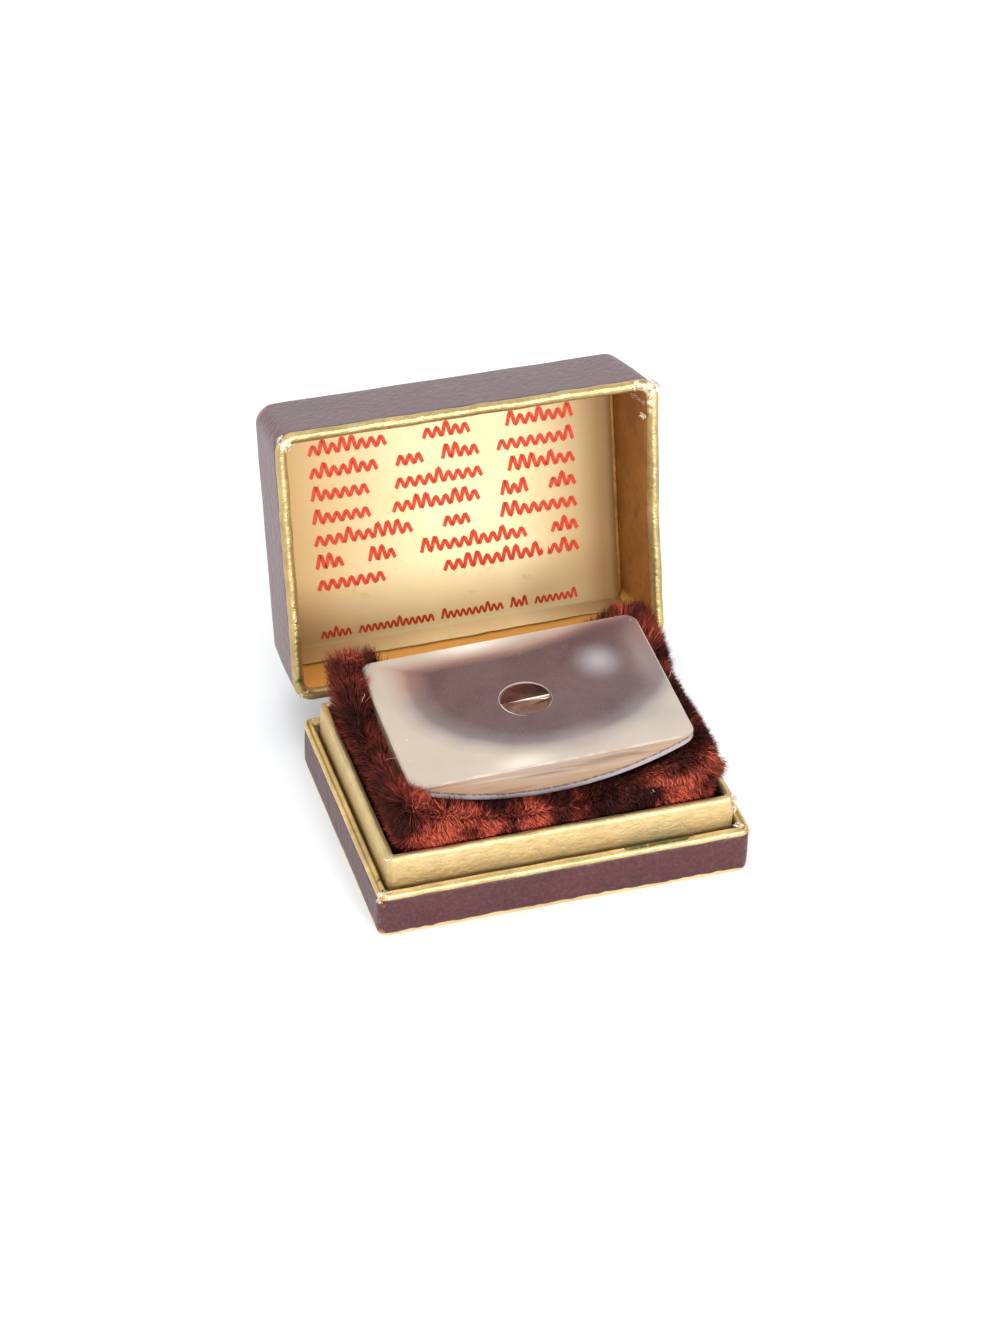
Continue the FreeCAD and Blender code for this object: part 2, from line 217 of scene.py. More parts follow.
def sweep(pts, nrm, profile, closed=True):
    """Verts and quads of a profile [(outward, z)] carried round an outline."""
    n, m = len(pts), len(profile)
    verts = np.zeros((n * m, 3))
    for j, (out, z) in enumerate(profile):
        verts[j * n:(j + 1) * n, :2] = pts + nrm * out
        verts[j * n:(j + 1) * n, 2] = z
    faces = []
    for j in range(m if closed else m - 1):
        faces += ring_quads(n, j, (j + 1) % m)
    return verts, np.array(faces)


def wobble(verts, amount, size, seed):
    """Small smooth displacement of every vertex, amount in mm."""
    v = np.array(verts, float)
    for axis in range(3):
        v[:, axis] += amount * lattice_noise(verts, size, seed + axis)
    return v


def near(verts, x, y, z, reach):
    """1 at a point in mm, falling to 0 at reach."""
    d = np.linalg.norm(np.asarray(verts) - np.array([x, y, z]), axis=1)
    return np.clip(1 - d / reach, 0, 1)


def blobs(verts, spots):
    """The strongest of several spots (x, y, z, reach, weight)."""
    best = np.zeros(len(verts))
    for x, y, z, reach, weight in spots:
        best = np.maximum(best, weight * near(verts, x, y, z, reach))
    return best


def thicken(ob, thickness):
    """Gives a sheet its thickness in mm, on its inner side."""
    solid = ob.modifiers.new("thickness", "SOLIDIFY")
    solid.thickness, solid.offset = thickness * MM, -1


def crisp_edges(ob, angle=28):
    """Keeps edges sharper than the angle crisp."""
    bm = bmesh.new()
    bm.from_mesh(ob.data)
    for e in bm.edges:
        if len(e.link_faces) == 2 and e.calc_face_angle(0) > math.radians(angle):
            e.smooth = False
    bm.to_mesh(ob.data)
    bm.free()


def tube_faces(start, count):
    """Faces of a four-sided closed tube whose count stations begin at point start."""
    faces = [f for i in range(count - 1) for f in ring_quads(4, i, i + 1)]
    faces += [(3, 2, 1, 0), tuple(4 * (count - 1) + k for k in range(4))]
    return [tuple(start + corner for corner in f) for f in faces]


def unit(v):
    return v / (np.linalg.norm(v, axis=1)[:, None] + 1e-9)


# ------------------------------------------------------------------ lid frame
PIVOT = np.array(JOINTS["lid_hinge"]["pos_m"]) / MM
OPEN = math.radians(104.27)
RIM_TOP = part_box("base_gilt_edge")[1].z / MM
LID_Z0 = RIM_TOP + 0.1
LID_W, LID_D, LID_H = 52.15, 38.0, 15.1
LID_SHIFT, LID_DRAFT = 0.5, (0.73, 0.66)
LID_CORNER, LID_EDGE = 2.6, 1.0
LID_SKEW = 0.62
LID_LEFT, LID_RIGHT = LID_SHIFT - LID_W / 2, LID_SHIFT + LID_W / 2


def open_lid(verts):
    """From the closed lid's frame to the open stop."""
    v = np.asarray(verts, float) - PIVOT
    c, s = math.cos(OPEN), math.sin(OPEN)
    out = v.copy()
    out[:, 1] = v[:, 1] * c + v[:, 2] * s
    out[:, 2] = -v[:, 1] * s + v[:, 2] * c
    return out + PIVOT


def draft(verts, skew=LID_SKEW):
    """Leans the lid's sides in with height; skew pulls out the front right corner (closed lid's frame)."""
    v = np.array(verts, float)
    h = (v[:, 2] - LID_Z0) / LID_H
    v[:, 0] = LID_SHIFT + (v[:, 0] - LID_SHIFT) * (1 - 2 * LID_DRAFT[0] * h / LID_W)
    v[:, 1] = v[:, 1] * (1 - 2 * LID_DRAFT[1] * h / LID_D)
    v[:, 0] += skew * np.clip(-v[:, 1] / 19, 0, 1) * np.clip(v[:, 0] / 26, 0, 1)
    return v


# ------------------------------------------------------------------ material helpers
class Nodes:
    """A node material under construction; each call adds a node and links its inputs."""

    def __init__(self, name):
        self.mat = bpy.data.materials.new(name)
        self.mat.use_nodes = True
        self.tree = self.mat.node_tree
        self.shader = self.tree.nodes["Principled BSDF"]
        self.place = self.tree.nodes.new("ShaderNodeTexCoord").outputs["Object"]

    def put(self, socket, value):
        if isinstance(value, bpy.types.NodeSocket):
            self.tree.links.new(value, socket)
        else:
            if hasattr(value, "__len__") and len(value) == 3 and socket.type == "RGBA":
                value = (*value, 1.0)
            socket.default_value = value

    def math(self, op, a, b, clamp=False):
        node = self.tree.nodes.new("ShaderNodeMath")
        node.operation, node.use_clamp = op, clamp
        self.put(node.inputs[0], a)
        self.put(node.inputs[1], b)
        return node.outputs[0]

    def add(self, a, b):
        return self.math("ADD", a, b)

    def sub(self, a, b):
        return self.math("SUBTRACT", a, b)

    def mul(self, a, b, clamp=False):
        return self.math("MULTIPLY", a, b, clamp)

    def div(self, a, b, clamp=False):
        return self.math("DIVIDE", a, b, clamp)

    def noise(self, scale, detail=2.0, rough=0.5, vector=None, distort=0.0):
        """Noise from 0 to 1; scale is in cycles per millimetre."""
        node = self.tree.nodes.new("ShaderNodeTexNoise")
        self.put(node.inputs["Vector"], vector or self.place)
        node.inputs["Scale"].default_value = scale / MM
        node.inputs["Detail"].default_value = detail
        node.inputs["Roughness"].default_value = rough
        node.inputs["Distortion"].default_value = distort
        return node.outputs["Fac"]

    def voronoi(self, scale, feature="F1", vector=None):
        node = self.tree.nodes.new("ShaderNodeTexVoronoi")
        node.feature = feature
        self.put(node.inputs["Vector"], vector or self.place)
        node.inputs["Scale"].default_value = scale / MM
        return node.outputs["Distance"]

    def stretch(self, scale, turn=(0, 0, 0)):
        """Object coordinates turned by degrees, then scaled per axis."""
        spin = self.tree.nodes.new("ShaderNodeVectorRotate")
        spin.rotation_type = "EULER_XYZ"
        self.put(spin.inputs["Vector"], self.place)
        spin.inputs["Rotation"].default_value = [math.radians(a) for a in turn]
        node = self.tree.nodes.new("ShaderNodeVectorMath")
        node.operation = "MULTIPLY"
        self.tree.links.new(spin.outputs[0], node.inputs[0])
        node.inputs[1].default_value = scale
        return node.outputs[0]

    def ramp(self, value, *stops):
        """Each stop is (position, colour or grey)."""
        node = self.tree.nodes.new("ShaderNodeValToRGB")
        self.put(node.inputs[0], value)
        bar = node.color_ramp.elements
        while len(bar) < len(stops):
            bar.new(0.5)
        for slot, (at, colour) in zip(bar, stops):
            slot.position = at
            colour = (colour,) * 3 if isinstance(colour, (int, float)) else colour
            slot.color = (*colour, 1.0)
        return node.outputs["Color"]

    def mix(self, fac, a, b):
        node = self.tree.nodes.new("ShaderNodeMix")
        node.data_type = "RGBA"
        self.put(node.inputs[0], fac)
        self.put(node.inputs[6], a)
        self.put(node.inputs[7], b)
        return node.outputs[2]

    def tint(self, tone, value, start, end, colour):
        """Mixes a colour in; its share runs between two stops (value, share)."""
        return self.mix(self.ramp(value, start, end), tone, colour)

    def blotch(self, value, scale, detail, rough, amount):
        """The value with its edge broken up by noise."""
        return self.add(value, self.mul(self.sub(self.noise(scale, detail, rough), 0.5), amount))

    def attr(self, name):
        node = self.tree.nodes.new("ShaderNodeAttribute")
        node.attribute_name = name
        return node.outputs["Fac"]

    def bump(self, height, distance, strength=1.0, normal=None):
        """distance in mm."""
        node = self.tree.nodes.new("ShaderNodeBump")
        node.inputs["Strength"].default_value = strength
        node.inputs["Distance"].default_value = distance * MM
        self.put(node.inputs["Height"], height)
        if normal is not None:
            self.tree.links.new(normal, node.inputs["Normal"])
        return node.outputs["Normal"]

    def finish(self, **sockets):
        for key, value in sockets.items():
            self.put(self.shader.inputs[key.replace("_", " ")], value)
        return self.mat


# ------------------------------------------------------------------ materials
def scaled(colour, factor):
    return tuple(c * factor for c in colour)


def leatherette(name, depth, shine):
    """Grained wine-red paper, rubbed to red and then to bare paper where it is worn."""
    m = Nodes(name)
    tone = m.ramp(m.noise(0.09, 3.0, 0.6), (0.3, scaled((0.066, 0.012, 0.014), depth)),
                  (0.7, scaled((0.096, 0.020, 0.023), depth)))
    grain = m.voronoi(1.55, "SMOOTH_F1", m.stretch((1.0, 0.50, 0.8), (20, 15, 32)))
    crease = m.noise(0.9, 4.0, 0.62, m.stretch((1.0, 0.40, 0.7), (10, 25, 38)), 0.4)
    tone = m.tint(tone, grain, (0.30, 0.0), (0.62, 0.55), (0.05, 0.012, 0.014))
    fine = m.noise(2.6, 3.0, 0.65)
    tone = m.tint(tone, fine, (0.45, 0.0), (0.8, 0.4 * depth), (0.20, 0.08, 0.085))
    rub = m.blotch(m.attr("wear"), 0.9, 4.0, 0.7, 1.1)
    tone = m.tint(tone, rub, (0.52, 0.0), (0.66, 1.0), (0.36, 0.075, 0.075))
    tone = m.tint(tone, rub, (0.84, 0.0), (0.96, 1.0), (0.62, 0.47, 0.36))
    normal = m.bump(m.ramp(grain, (0.1, 1.0), (0.75, 0.0)), 0.10, 0.9)
    normal = m.bump(crease, 0.22, 0.6, normal)
    return m.finish(Base_Color=tone, Roughness=m.ramp(fine, (0.3, 0.34), (0.8, 0.48)),
                    Normal=normal, Specular_IOR_Level=shine)


def gilt(name, base, rough, shade, specks):
    """Metallic paper with folds, painted shade in the fold hollows, green stains and pale fraying."""
    m = Nodes(name)
    cloud = m.noise(0.22, 4.0, 0.62)
    tone = m.ramp(cloud, (0.32, scaled(base, shade)), (0.66, base))
    tone = m.tint(tone, m.noise(2.4, 4.0, 0.72), (0.52, 0.0), (0.74, specks), (0.23, 0.165, 0.075))
    green = m.blotch(m.attr("green"), 1.4, 4.0, 0.7, 0.9)
    tone = m.tint(tone, green, (0.45, 0.0), (0.60, 0.9), (0.06, 0.085, 0.022))
    bare = m.ramp(m.blotch(m.attr("fray"), 1.9, 4.0, 0.75, 1.6), (0.62, 0.0), (0.74, 1.0))
    tone = m.mix(bare, tone, (0.66, 0.54, 0.37))
    metal = m.sub(0.75, m.mul(bare, 0.7))
    fold = m.noise(0.8, 5.0, 0.62, m.stretch((1.0, 1.0, 1.6)), 0.3)
    # Painted shade: the hollows of the folds are darkened.
    crease = (base[0] * 0.62, base[1] * 0.62, base[2] * 0.55)
    tone = m.tint(tone, fold, (0.30, 0.5), (0.50, 0.0), crease)
    normal = m.bump(fold, 0.24, 0.6)
    normal = m.bump(m.noise(3.6, 3.0, 0.65), 0.03, 0.6, normal)
    return m.finish(Base_Color=tone, Roughness=m.ramp(cloud, (0.3, rough + 0.14), (0.7, rough)),
                    Metallic=metal, Normal=normal)


def amber(name):
    """Golden-brown lining: painted light on the wall by the hinge, painted shade on the right wall, darker in
    patches and towards its top and bottom edges.
    """
    m = Nodes(name)
    tone = m.ramp(m.noise(0.13, 4.0, 0.65), (0.35, (0.42, 0.19, 0.04)), (0.65, (0.74, 0.38, 0.085)))
    tone = m.tint(tone, m.noise(0.9, 5.0, 0.7), (0.5, 0.0), (0.72, 0.6), (0.20, 0.085, 0.025))
    # The side mask paints light on the wall by the hinge and shade on the right wall.
    side = m.attr("side")
    tone = m.mix(m.mul(side, 0.8, True), tone, (0.95, 0.58, 0.17))
    tone = m.mix(m.mul(side, -0.55, True), tone, (0.15, 0.05, 0.016))
    dark_patches_and_ends = m.blotch(m.attr("dark_patches_and_ends"), 0.5, 5.0, 0.7, 1.1)
    tone = m.tint(tone, dark_patches_and_ends, (0.42, 0.0), (0.72, 0.8), (0.16, 0.10, 0.045))
    normal = m.bump(m.noise(0.9, 4.0, 0.6), 0.08, 0.35)
    return m.finish(Base_Color=tone, Roughness=0.46, Metallic=0.55, Normal=normal)


def paper(name, light, dark, end_shaded_and_foxed=False):
    """Plain paper; the notice card's paper also has painted shade, browner towards its left and right ends,
    and foxing.
    """
    m = Nodes(name)
    tone = m.ramp(m.noise(0.07, 4.0, 0.6), (0.25, dark), (0.6, light))
    fibre = m.noise(2.4, 3.0, 0.7, m.stretch((1.0, 1.0, 3.0)))
    tone = m.tint(tone, fibre, (0.55, 0.0), (0.8, 0.25), dark)
    if end_shaded_and_foxed:
        u = m.attr("u")
        # Painted shade: darker towards the right end, in the shadow of the lid's right wall, and towards the
        # left end.
        right = m.mul(m.sub(u, 9.0), 0.075, True)
        left = m.mul(m.sub(-2.0, u), 0.045, True)
        tone = m.mix(m.mul(right, 0.95), tone, (0.36, 0.215, 0.085))
        tone = m.mix(left, tone, (0.50, 0.32, 0.125))
        tone = m.tint(tone, m.noise(0.5, 4.0, 0.7), (0.60, 0.0), (0.72, 0.35), (0.55, 0.34, 0.14))
    normal = m.bump(fibre, 0.02, 0.4)
    return m.finish(Base_Color=tone, Roughness=0.75, Specular_IOR_Level=0.3, Normal=normal)


def ink(name):
    m = Nodes(name)
    tone = m.ramp(m.noise(2.2, 3.0, 0.7), (0.35, (0.55, 0.045, 0.015)), (0.75, (0.66, 0.085, 0.03)))
    return m.finish(Base_Color=tone, Roughness=0.6, Specular_IOR_Level=0.3)


def torn(name):
    m = Nodes(name)
    tone = m.ramp(m.noise(1.8, 4.0, 0.7), (0.35, (0.50, 0.37, 0.20)), (0.5, (0.72, 0.60, 0.42)),
                  (0.68, (0.86, 0.80, 0.68)))
    normal = m.bump(m.noise(3.0, 3.0), 0.04, 0.5)
    return m.finish(Base_Color=tone, Roughness=0.7, Specular_IOR_Level=0.4, Normal=normal)


def card(name):
    m = Nodes(name)
    tone = m.ramp(m.noise(0.8, 4.0, 0.6), (0.3, (0.36, 0.28, 0.18)), (0.7, (0.48, 0.39, 0.26)))
    return m.finish(Base_Color=tone, Roughness=0.9, Normal=m.bump(m.noise(2.0, 3.0), 0.04, 0.5))


def brass(name):
    m = Nodes(name)
    tone = m.ramp(m.noise(0.5, 5.0, 0.65), (0.35, (0.30, 0.19, 0.07)), (0.65, (0.62, 0.44, 0.18)))
    scratch = m.noise(1.2, 4.0, 0.6, m.stretch((6.0, 1.0, 0.6)))
    return m.finish(Base_Color=tone, Metallic=1.0, Roughness=m.ramp(scratch, (0.3, 0.28), (0.7, 0.5)),
                    Normal=m.bump(scratch, 0.02, 0.4))


# Painted highlight and painted patches of light and shade on the ground face: centre and half size in the
# lens's frame (mm), colour, share.
PAINTED_LIGHT_PATCHES = [
    (-4.0, 13.4, 8.0, 3.0, (0.92, 0.82, 0.76), 0.9),
    (-4.0, -12.6, 5.5, 2.6, (0.78, 0.69, 0.57), 0.85),
    (11.4, 4.9, 4.2, 4.7, (0.54, 0.51, 0.54), 0.60),
    (13.5, 11.2, 6.0, 3.2, (0.12, 0.055, 0.058), 0.8),
    (5.0, -10.5, 7.0, 4.0, (0.36, 0.29, 0.265), 0.55),
    (17.0, 4.0, 3.0, 9.0, (0.36, 0.27, 0.245), 0.45),
    (16.0, -8.0, 6.5, 5.0, (0.34, 0.29, 0.27), 0.5),
    (15.0, -1.5, 4.0, 4.5, (0.12, 0.075, 0.075), 0.45),
]


def ground_glass(name):
    """The finely ground face, painted: a dark oval where it shows the plush below through the glass, pale
    round it where light comes in at the sides, with a painted highlight and painted patches of light and
    shade.
    """
    m = Nodes(name)
    u, v = m.attr("u"), m.attr("v")
    off = m.sub(u, 2.0)
    across = m.add(m.div(m.math("MINIMUM", off, 0.0), 17.5), m.div(m.math("MAXIMUM", off, 0.0), 19.0))
    down = m.div(m.math("MINIMUM", m.sub(v, 3.2), 0.0), 14.0)
    oval = m.blotch(m.add(m.mul(across, across), m.mul(down, down)), 0.09, 2.0, 0.5, 0.30)
    ring = m.ramp(m.mul(oval, 0.5), (0.26, 0.0), (0.38, 0.28), (0.49, 0.74), (0.60, 1.0))
    start = m.add(8.9, m.mul(m.math("MAXIMUM", off, 0.0), 0.20))
    light = m.math("MAXIMUM", ring, m.div(m.sub(v, start), 3.6, True))
    dark = m.ramp(m.noise(0.13, 3.0, 0.6), (0.3, (0.090, 0.050, 0.053)), (0.7, (0.135, 0.082, 0.084)))
    middle = m.mix(m.mul(m.sub(v, 2.0), 0.2, True), (0.235, 0.20, 0.195), (0.33, 0.19, 0.155))
    pale = m.ramp(m.noise(0.08, 3.0, 0.6), (0.3, (0.47, 0.395, 0.325)), (0.7, (0.54, 0.46, 0.375)))
    tone = m.mix(m.mul(light, 2.0, True), dark, middle)
    tone = m.mix(m.mul(m.sub(light, 0.35), 1.55, True), tone, pale)
    for x, y, wide, deep, colour, share in PAINTED_LIGHT_PATCHES:
        du, dv = m.div(m.sub(u, x), wide), m.div(m.sub(v, y), deep)
        r = m.add(m.mul(du, du), m.mul(dv, dv))
        fade = m.ramp(r, (0.0, 1.0), (0.12, 0.66), (0.35, 0.32), (0.65, 0.1), (1.0, 0.0))
        tone = m.mix(m.mul(fade, share), tone, colour)
    grit = m.noise(7.0, 2.0, 0.6)
    tone = m.tint(tone, grit, (0.55, 0.0), (0.85, 0.16), (0.9, 0.85, 0.8))
    tone = m.tint(tone, m.voronoi(0.25), (0.020, 0.8), (0.032, 0.0), (0.85, 0.80, 0.75))
    return m.finish(Base_Color=tone, Roughness=0.38, Specular_IOR_Level=0.5, Normal=m.bump(grit, 0.006, 0.5))


def glass_edge(name, light, dark, rough, shine=0.5):
    m = Nodes(name)
    tone = m.ramp(m.noise(0.25, 3.0, 0.6), (0.35, dark), (0.6, light))
    normal = m.bump(m.noise(3.0, 2.0), 0.004, 0.3)
    return m.finish(Base_Color=tone, Roughness=rough, Specular_IOR_Level=shine, Normal=normal)


def flank_glass(name):
    """The lens's upright faces: smooth peach glass, its colour a painted reflection of the ground face inside
    the lens, a dotted chipped line, and a clear lower margin painted pale grey as the view through the glass.
    """
    m = Nodes(name)
    level = m.div(m.blotch(m.attr("rise"), 0.45, 3.0, 0.6, 0.35), 5.0, True)
    streak = m.noise(0.28, 3.0, 0.55, m.stretch((0.25, 0.25, 5.0)))
    peach = m.ramp(level, (0.2, (0.39, 0.25, 0.15)), (0.5, (0.33, 0.22, 0.145)), (0.95, (0.31, 0.225, 0.17)))
    peach = m.tint(peach, streak, (0.53, 0.0), (0.66, 0.7), (0.17, 0.10, 0.07))
    peach = m.tint(peach, streak, (0.28, 0.6), (0.42, 0.0), (0.52, 0.40, 0.31))
    tone = m.mix(m.ramp(level, (0.15, 0.0), (0.18, 1.0)), (0.42, 0.36, 0.37), peach)
    dots = m.ramp(m.noise(2.4, 2.0), (0.40, 0.35), (0.55, 0.95))
    chip = m.mul(m.ramp(level, (0.135, 0.0), (0.16, 1.0), (0.19, 1.0), (0.23, 0.0)), dots)
    tone = m.mix(chip, tone, (0.12, 0.10, 0.10))
    return m.finish(Base_Color=tone, Roughness=0.2, Specular_IOR_Level=0.5, Normal=m.bump(streak, 0.015, 0.3))


def clear_glass(name):
    m = Nodes(name)
    tone = m.ramp(m.noise(0.1, 2.0), (0.3, (0.80, 0.74, 0.72)), (0.7, scaled((0.80, 0.74, 0.72), 1.15)))
    return m.finish(Base_Color=tone, Roughness=0.03, Transmission_Weight=0.6, IOR=1.5)


def wedge_glass(name, near):
    # Painted view of the plush through the clear spot; the far half is painted darker towards +u.
    m = Nodes(name)
    cloud = m.noise(0.45, 3.0, 0.6)
    if near:
        tone = m.ramp(cloud, (0.35, (0.11, 0.045, 0.036)), (0.7, (0.24, 0.12, 0.095)))
    else:
        tone = m.ramp(cloud, (0.35, (0.055, 0.02, 0.018)), (0.7, (0.12, 0.05, 0.04)))
        tone = m.mix(m.mul(m.add(m.attr("u"), 0.4), 0.35, True), tone, (0.018, 0.010, 0.010))
    return m.finish(Base_Color=tone, Roughness=0.07, Specular_IOR_Level=0.5, Normal=m.bump(cloud, 0.03, 0.3))


def plush_ground(name):
    m = Nodes(name)
    tone = m.ramp(m.noise(1.6, 4.0, 0.65), (0.3, (0.07, 0.011, 0.009)), (0.7, (0.20, 0.030, 0.020)))
    normal = m.bump(m.noise(2.5, 3.0), 0.2, 0.6)
    return m.finish(Base_Color=tone, Roughness=0.9, Specular_IOR_Level=0.15, Normal=normal)


def plush_pile(name):
    """Fibres: tone runs from dark to bright crimson, and painted shade makes the roots darker than the tips.
    """
    m = Nodes(name)
    tone = m.ramp(m.attr("tone"), (0.12, (0.060, 0.012, 0.010)), (0.48, (0.30, 0.044, 0.029)),
                  (0.85, (0.98, 0.19, 0.115)))
    # Painted shade: darker towards the roots.
    tone = m.tint(tone, m.attr("tip"), (0.0, 0.7), (0.7, 0.0), (0.035, 0.006, 0.005))
    tone = m.tint(tone, m.noise(1.2, 2.0), (0.5, 0.0), (0.85, 0.25), (0.40, 0.13, 0.09))
    return m.finish(Base_Color=tone, Roughness=0.7, Specular_IOR_Level=0.15, Sheen_Weight=0.12,
                    Sheen_Roughness=0.4, Sheen_Tint=(0.9, 0.30, 0.22))


MAT = {
    "ground": ground_glass("ground_face_painted_light"),
    # The polished bevels carry a painted bright line of light.
    "polish": glass_edge("polished_edge_painted_highlight", (0.50, 0.42, 0.35), (0.34, 0.27, 0.22), 0.45, 0.25),
    "flank": flank_glass("lens_flank_painted_reflection"),
    "belly": clear_glass("lens_belly"),
    # The recess floor is painted dark, as the plush seen through the glass.
    "recess": glass_edge("spot_recess_painted_plush_view", (0.16, 0.08, 0.06), (0.08, 0.03, 0.025), 0.4),
    # The wedges' rim is painted bright, as light caught on their bevelled edges.
    "wedge_rim_painted_highlight": glass_edge("wedge_rim_painted_highlight", (0.95, 0.90, 0.84), (0.55, 0.42, 0.34), 0.1),
    "wedge_near": wedge_glass("wedge_near_painted_plush_view", True),
    "wedge_far": wedge_glass("wedge_far_painted_plush_view", False),
    "plush_ground": plush_ground("plush_ground_weave"),
    "plush_pile": plush_pile("plush_fibre"),
    "leather": leatherette("lid_leatherette", 1.0, 0.8),
    "leather_base": leatherette("base_leatherette", 0.85, 0.38),
    "gilt": gilt("gilt_paper", (0.80, 0.585, 0.265), 0.30, 0.62, 0.45),
    "bead": gilt("bead_gilt", (0.54, 0.39, 0.17), 0.24, 0.60, 0.38),
    "neck": gilt("neck_gilt", (0.69, 0.515, 0.25), 0.40, 0.84, 0.2),
    "amber": amber("amber_lining"),
    "notice": paper("notice_paper", (0.95, 0.80, 0.49), (0.90, 0.72, 0.40), end_shaded_and_foxed=True),
    "foot": paper("foot_paper", (0.62, 0.47, 0.25), (0.42, 0.29, 0.13)),
    "card": card("grey_card"),
    "torn": torn("torn_paper"),
    "ink": ink("red_print"),
    "brass": brass("hinge_brass"),
}


def dress(slot, *nodes):
    """Gives carried-over CAD nodes a node material."""
    for name in nodes:
        mesh = NODES[name].data
        mesh.materials.clear()
        mesh.materials.append(MAT[slot])


for side in ("front", "back", "left", "right"):
    dress("card", "base_wall_" + side, "neck_" + side, "lid_wall_" + side)
dress("card", "base_floor", "pad_card", "pad_core", "lid_panel")
dress("foot", "foot_board")
dress("brass", "hinge_leaf_base", "hinge_leaf_lid", "hinge_pin", "hinge_tacks_base", "hinge_tacks_lid")
dress("leather", "base_covering", "lid_covering")
dress("gilt", "base_gilt_edge", "lid_gilt_edge", "neck_gilt_paper")
dress("amber", "lid_wall_lining", "lid_panel_lining")
dress("notice", "lid_notice_card")


# ------------------------------------------------------------------ case papers
BASE_W, BASE_D, BASE_R = 50.0, 38.0, 1.2
NECK_W, NECK_D, NECK_R = 46.7, 33.8, 0.8
# x of the green stains along the front of the rim and the neck
STAIN_X = (9.0, 10.4, 11.8, 13.2, 14.6, 16.0)


def make_base_covering():
    pts, nrm = outline(0, BASE_W, BASE_D, BASE_R, 0.45)
    skin = [(0.0, 0.55), (0.05, 0.8), (0.07, 1.6), (0.08, 3.0), (0.07, 4.4), (0.05, 5.4), (0.02, 5.85)]
    skin += [(-0.1, 5.97)]
    skin += [(-0.23, 5.9), (-0.24, 3.5), (-0.23, 0.65)]
    verts, faces = sweep(pts, nrm, skin)
    verts = wobble(verts, 0.05, 4.0, 3)
    n = len(pts)
    level = np.c_[pts, np.zeros(n)]
    ragged = 0.13 * lattice_noise(level, 0.9, 8) + 0.1 * lattice_noise(level, 3.1, 9)
    verts[:n, 2] += ragged
    verts[n:2 * n, 2] += ragged * 0.7
    x, y, z = np.abs(verts[:, 0]), np.abs(verts[:, 1]), verts[:, 2]
    corner = np.clip(1 - np.hypot(x - BASE_W / 2, y - BASE_D / 2) / 1.9, 0, 1)
    foot = np.clip(1 - (z - 0.5) / 0.5, 0, 1) * 0.42
    head = np.clip(1 - (5.97 - z) / 0.4, 0, 1) * 0.40
    wear = np.maximum.reduce([corner * 0.60, foot, head, corner * (foot + head) * 1.2])
    wear = np.maximum(wear, blobs(verts, [
        (-25, -19, 5.4, 1.6, 0.85), (-25, -19, 0.7, 2.2, 0.8),
        (25, -19, 5.4, 1.5, 0.8), (25, -19, 0.8, 1.6, 0.9),
        (-11.7, -19, 3.9, 0.35, 0.9), (-11.9, -19, 2.6, 0.3, 0.9), (-12.6, -19, 1.1, 0.5, 0.85),
    ]))
    ob = build("base_leatherette", verts, faces, MAT["leather_base"], "base", attrs={"wear": wear})
    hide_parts("base_covering")


def make_base_rim():
    pts, nrm = outline(0, BASE_W, BASE_D, BASE_R, 0.45)
    edge = [(-0.02, 5.86), (0.05, 6.0), (0.07, 6.22), (0.05, 6.42), (-0.03, 6.58), (-0.16, 6.68)]
    edge += [(-0.32, 6.69), (-0.45, 6.58), (-0.55, 6.42), (-0.66, 6.42), (-0.78, 6.57), (-0.92, 6.64)]
    edge += [(-1.08, 6.58), (-1.20, 6.40)]
    edge += [(-1.27, 6.15), (-1.28, 5.2), (-1.26, 3.2), (-1.25, 5.96), (-0.25, 5.97)]
    verts, faces = sweep(pts, nrm, edge)
    verts = wobble(verts, 0.05, 2.6, 21)
    green = blobs(verts, [(x, -17.7, 6.5, 1.9, 1.1) for x in STAIN_X] + [
        (17.3, -17.7, 6.5, 1.4, 0.8), (-6.0, -17.6, 6.4, 2.5, 0.62),
        (-23.6, -15.5, 6.3, 2.2, 0.75), (-23.8, -9.5, 6.3, 1.4, 0.6),
    ])
    fray = blobs(verts, [
        (-25, -19, 6.5, 1.7, 0.75), (25, -19, 6.5, 1.9, 0.8),
        (-25, 19, 6.5, 1.8, 0.7), (25, 19, 6.5, 1.8, 0.7),
    ])
    ob = build("base_gilt_rim", verts, faces, MAT["gilt"], "base", attrs={"green": green, "fray": fray})
    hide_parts("base_gilt_edge")


